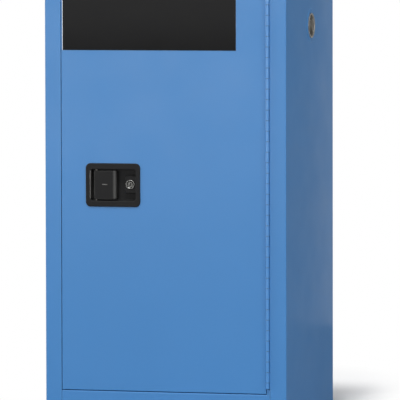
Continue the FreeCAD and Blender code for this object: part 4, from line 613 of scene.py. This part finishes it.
# ---------------------------------------------------------------- shelf and trays
# The shelf is a folded sheet in the inside coat. The trays are thermoformed from black polyethylene.
# Their skin is finely pebbled and waxy, with pale scuffs where cans have been slid over it.
dress(("shelf",), inside_coat)
PEBBLE = 2.2 * MM  # real pebbles are about 0.8 mm; drawn coarser so that they show
SCUFF = 60 * MM  # how far apart the scuffs lie
TRAY_EDGE = 1.5 * MM
poly, tree, shader = new_material("black_polyethylene", 0.5, Specular_IOR_Level=0.45)
here = add(tree, "ShaderNodeTexCoord", {}).outputs["Object"]
slid = add(tree, "ShaderNodeMapping", {"Vector": here, "Scale": (1.0, 0.15, 1.0)}).outputs["Vector"]
scuffs = add(tree, "ShaderNodeTexNoise", {"Vector": slid, "Scale": 1 / SCUFF, "Detail": 8.0,
                                          "Roughness": 0.7}).outputs["Fac"]
marks = add(tree, "ShaderNodeMapRange", {"Value": scuffs, "From Min": 0.56, "From Max": 0.72,
                                         "To Min": 0.0, "To Max": 0.5}).outputs["Result"]
cells = add(tree, "ShaderNodeTexVoronoi", {"Vector": here, "Scale": 1 / PEBBLE}).outputs["Distance"]
plain = add(tree, "ShaderNodeMix", {"Factor": marks, 6: linear("#1B1C1D"), 7: linear("#3C3D3E")}, data_type="RGBA")
edged = add(tree, "ShaderNodeMix", {"Factor": rubbed(tree, TRAY_EDGE, 0.5), 6: plain.outputs[2],
                                    7: linear("#56585A")}, data_type="RGBA")
waxy = add(tree, "ShaderNodeMapRange", {"Value": scuffs, "From Min": 0.3, "From Max": 0.7,
                                        "To Min": 0.42, "To Max": 0.60})
pebbles = add(tree, "ShaderNodeBump", {"Height": cells, "Strength": 0.35, "Distance": 0.12 * MM})
tree.links.new(edged.outputs[2], shader.inputs["Base Color"])
tree.links.new(waxy.outputs["Result"], shader.inputs["Roughness"])
tree.links.new(pebbles.outputs["Normal"], shader.inputs["Normal"])
dress(("shelf_tray", "floor_tray"), poly)

# ---------------------------------------------------------------- feet
# Four M10 screws run through nuts welded over the base, each with a moulded rubber pad on its end.
# The thread is rolled, so its crests are bright and smooth. The nuts are plated.
PITCH = 1.5 * MM
THREAD_DEPTH = 0.8 * MM
CREST = (0.42, 0.58)  # the flat crest of a thread, in shares of its pitch
TURN_STEPS = 20
dress(("foot_nuts",), zinc_plate)


def threaded_rod(centre, radius, z0, z1):
    """An upright screw: one tooth spun up a helix, cut square at both ends and capped."""
    bm = bmesh.new()
    start = z0 - PITCH
    turns = int((z1 - z0) / PITCH) + 3
    tooth = ((radius - THREAD_DEPTH, 0.0), (radius, CREST[0]), (radius, CREST[1]), (radius - THREAD_DEPTH, 1.0))
    points = [bm.verts.new((centre.x + r, centre.y, start + share * PITCH)) for r, share in tooth]
    edges = [bm.edges.new(pair) for pair in zip(points, points[1:])]
    bmesh.ops.spin(bm, geom=points + edges, cent=(centre.x, centre.y, start), axis=(0, 0, 1),
                   dvec=(0, 0, PITCH / TURN_STEPS), angle=2 * math.pi * turns, steps=TURN_STEPS * turns,
                   use_merge=False)
    bmesh.ops.remove_doubles(bm, verts=bm.verts[:], dist=0.02 * MM)
    for level, way in ((z0, -1), (z1, 1)):
        bmesh.ops.bisect_plane(bm, geom=bm.verts[:] + bm.edges[:] + bm.faces[:], dist=1e-7,
                               plane_co=(0, 0, level), plane_no=(0, 0, way), clear_outer=True)
    bmesh.ops.holes_fill(bm, edges=[e for e in bm.edges if e.is_boundary], sides=0)
    return bm


for end in ("front_left", "front_right", "rear_left", "rear_right"):
    low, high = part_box("foot_stud_" + end)
    bm = threaded_rod((low + high) / 2, (high.x - low.x) / 2, low.z, high.z)
    stud = finished("foot_screw_" + end, bm, "foot_" + end, [zinc_plate])
    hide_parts("foot_stud_" + end)
    dress(("foot_pad_" + end,), rubber)

# ---------------------------------------------------------------- bonding stud
# A plated screw welded low on the side for a bonding lead, with its washer and nut.
# It stays bare so that the lead makes contact.
dress(("ground_terminal",), zinc_plate)
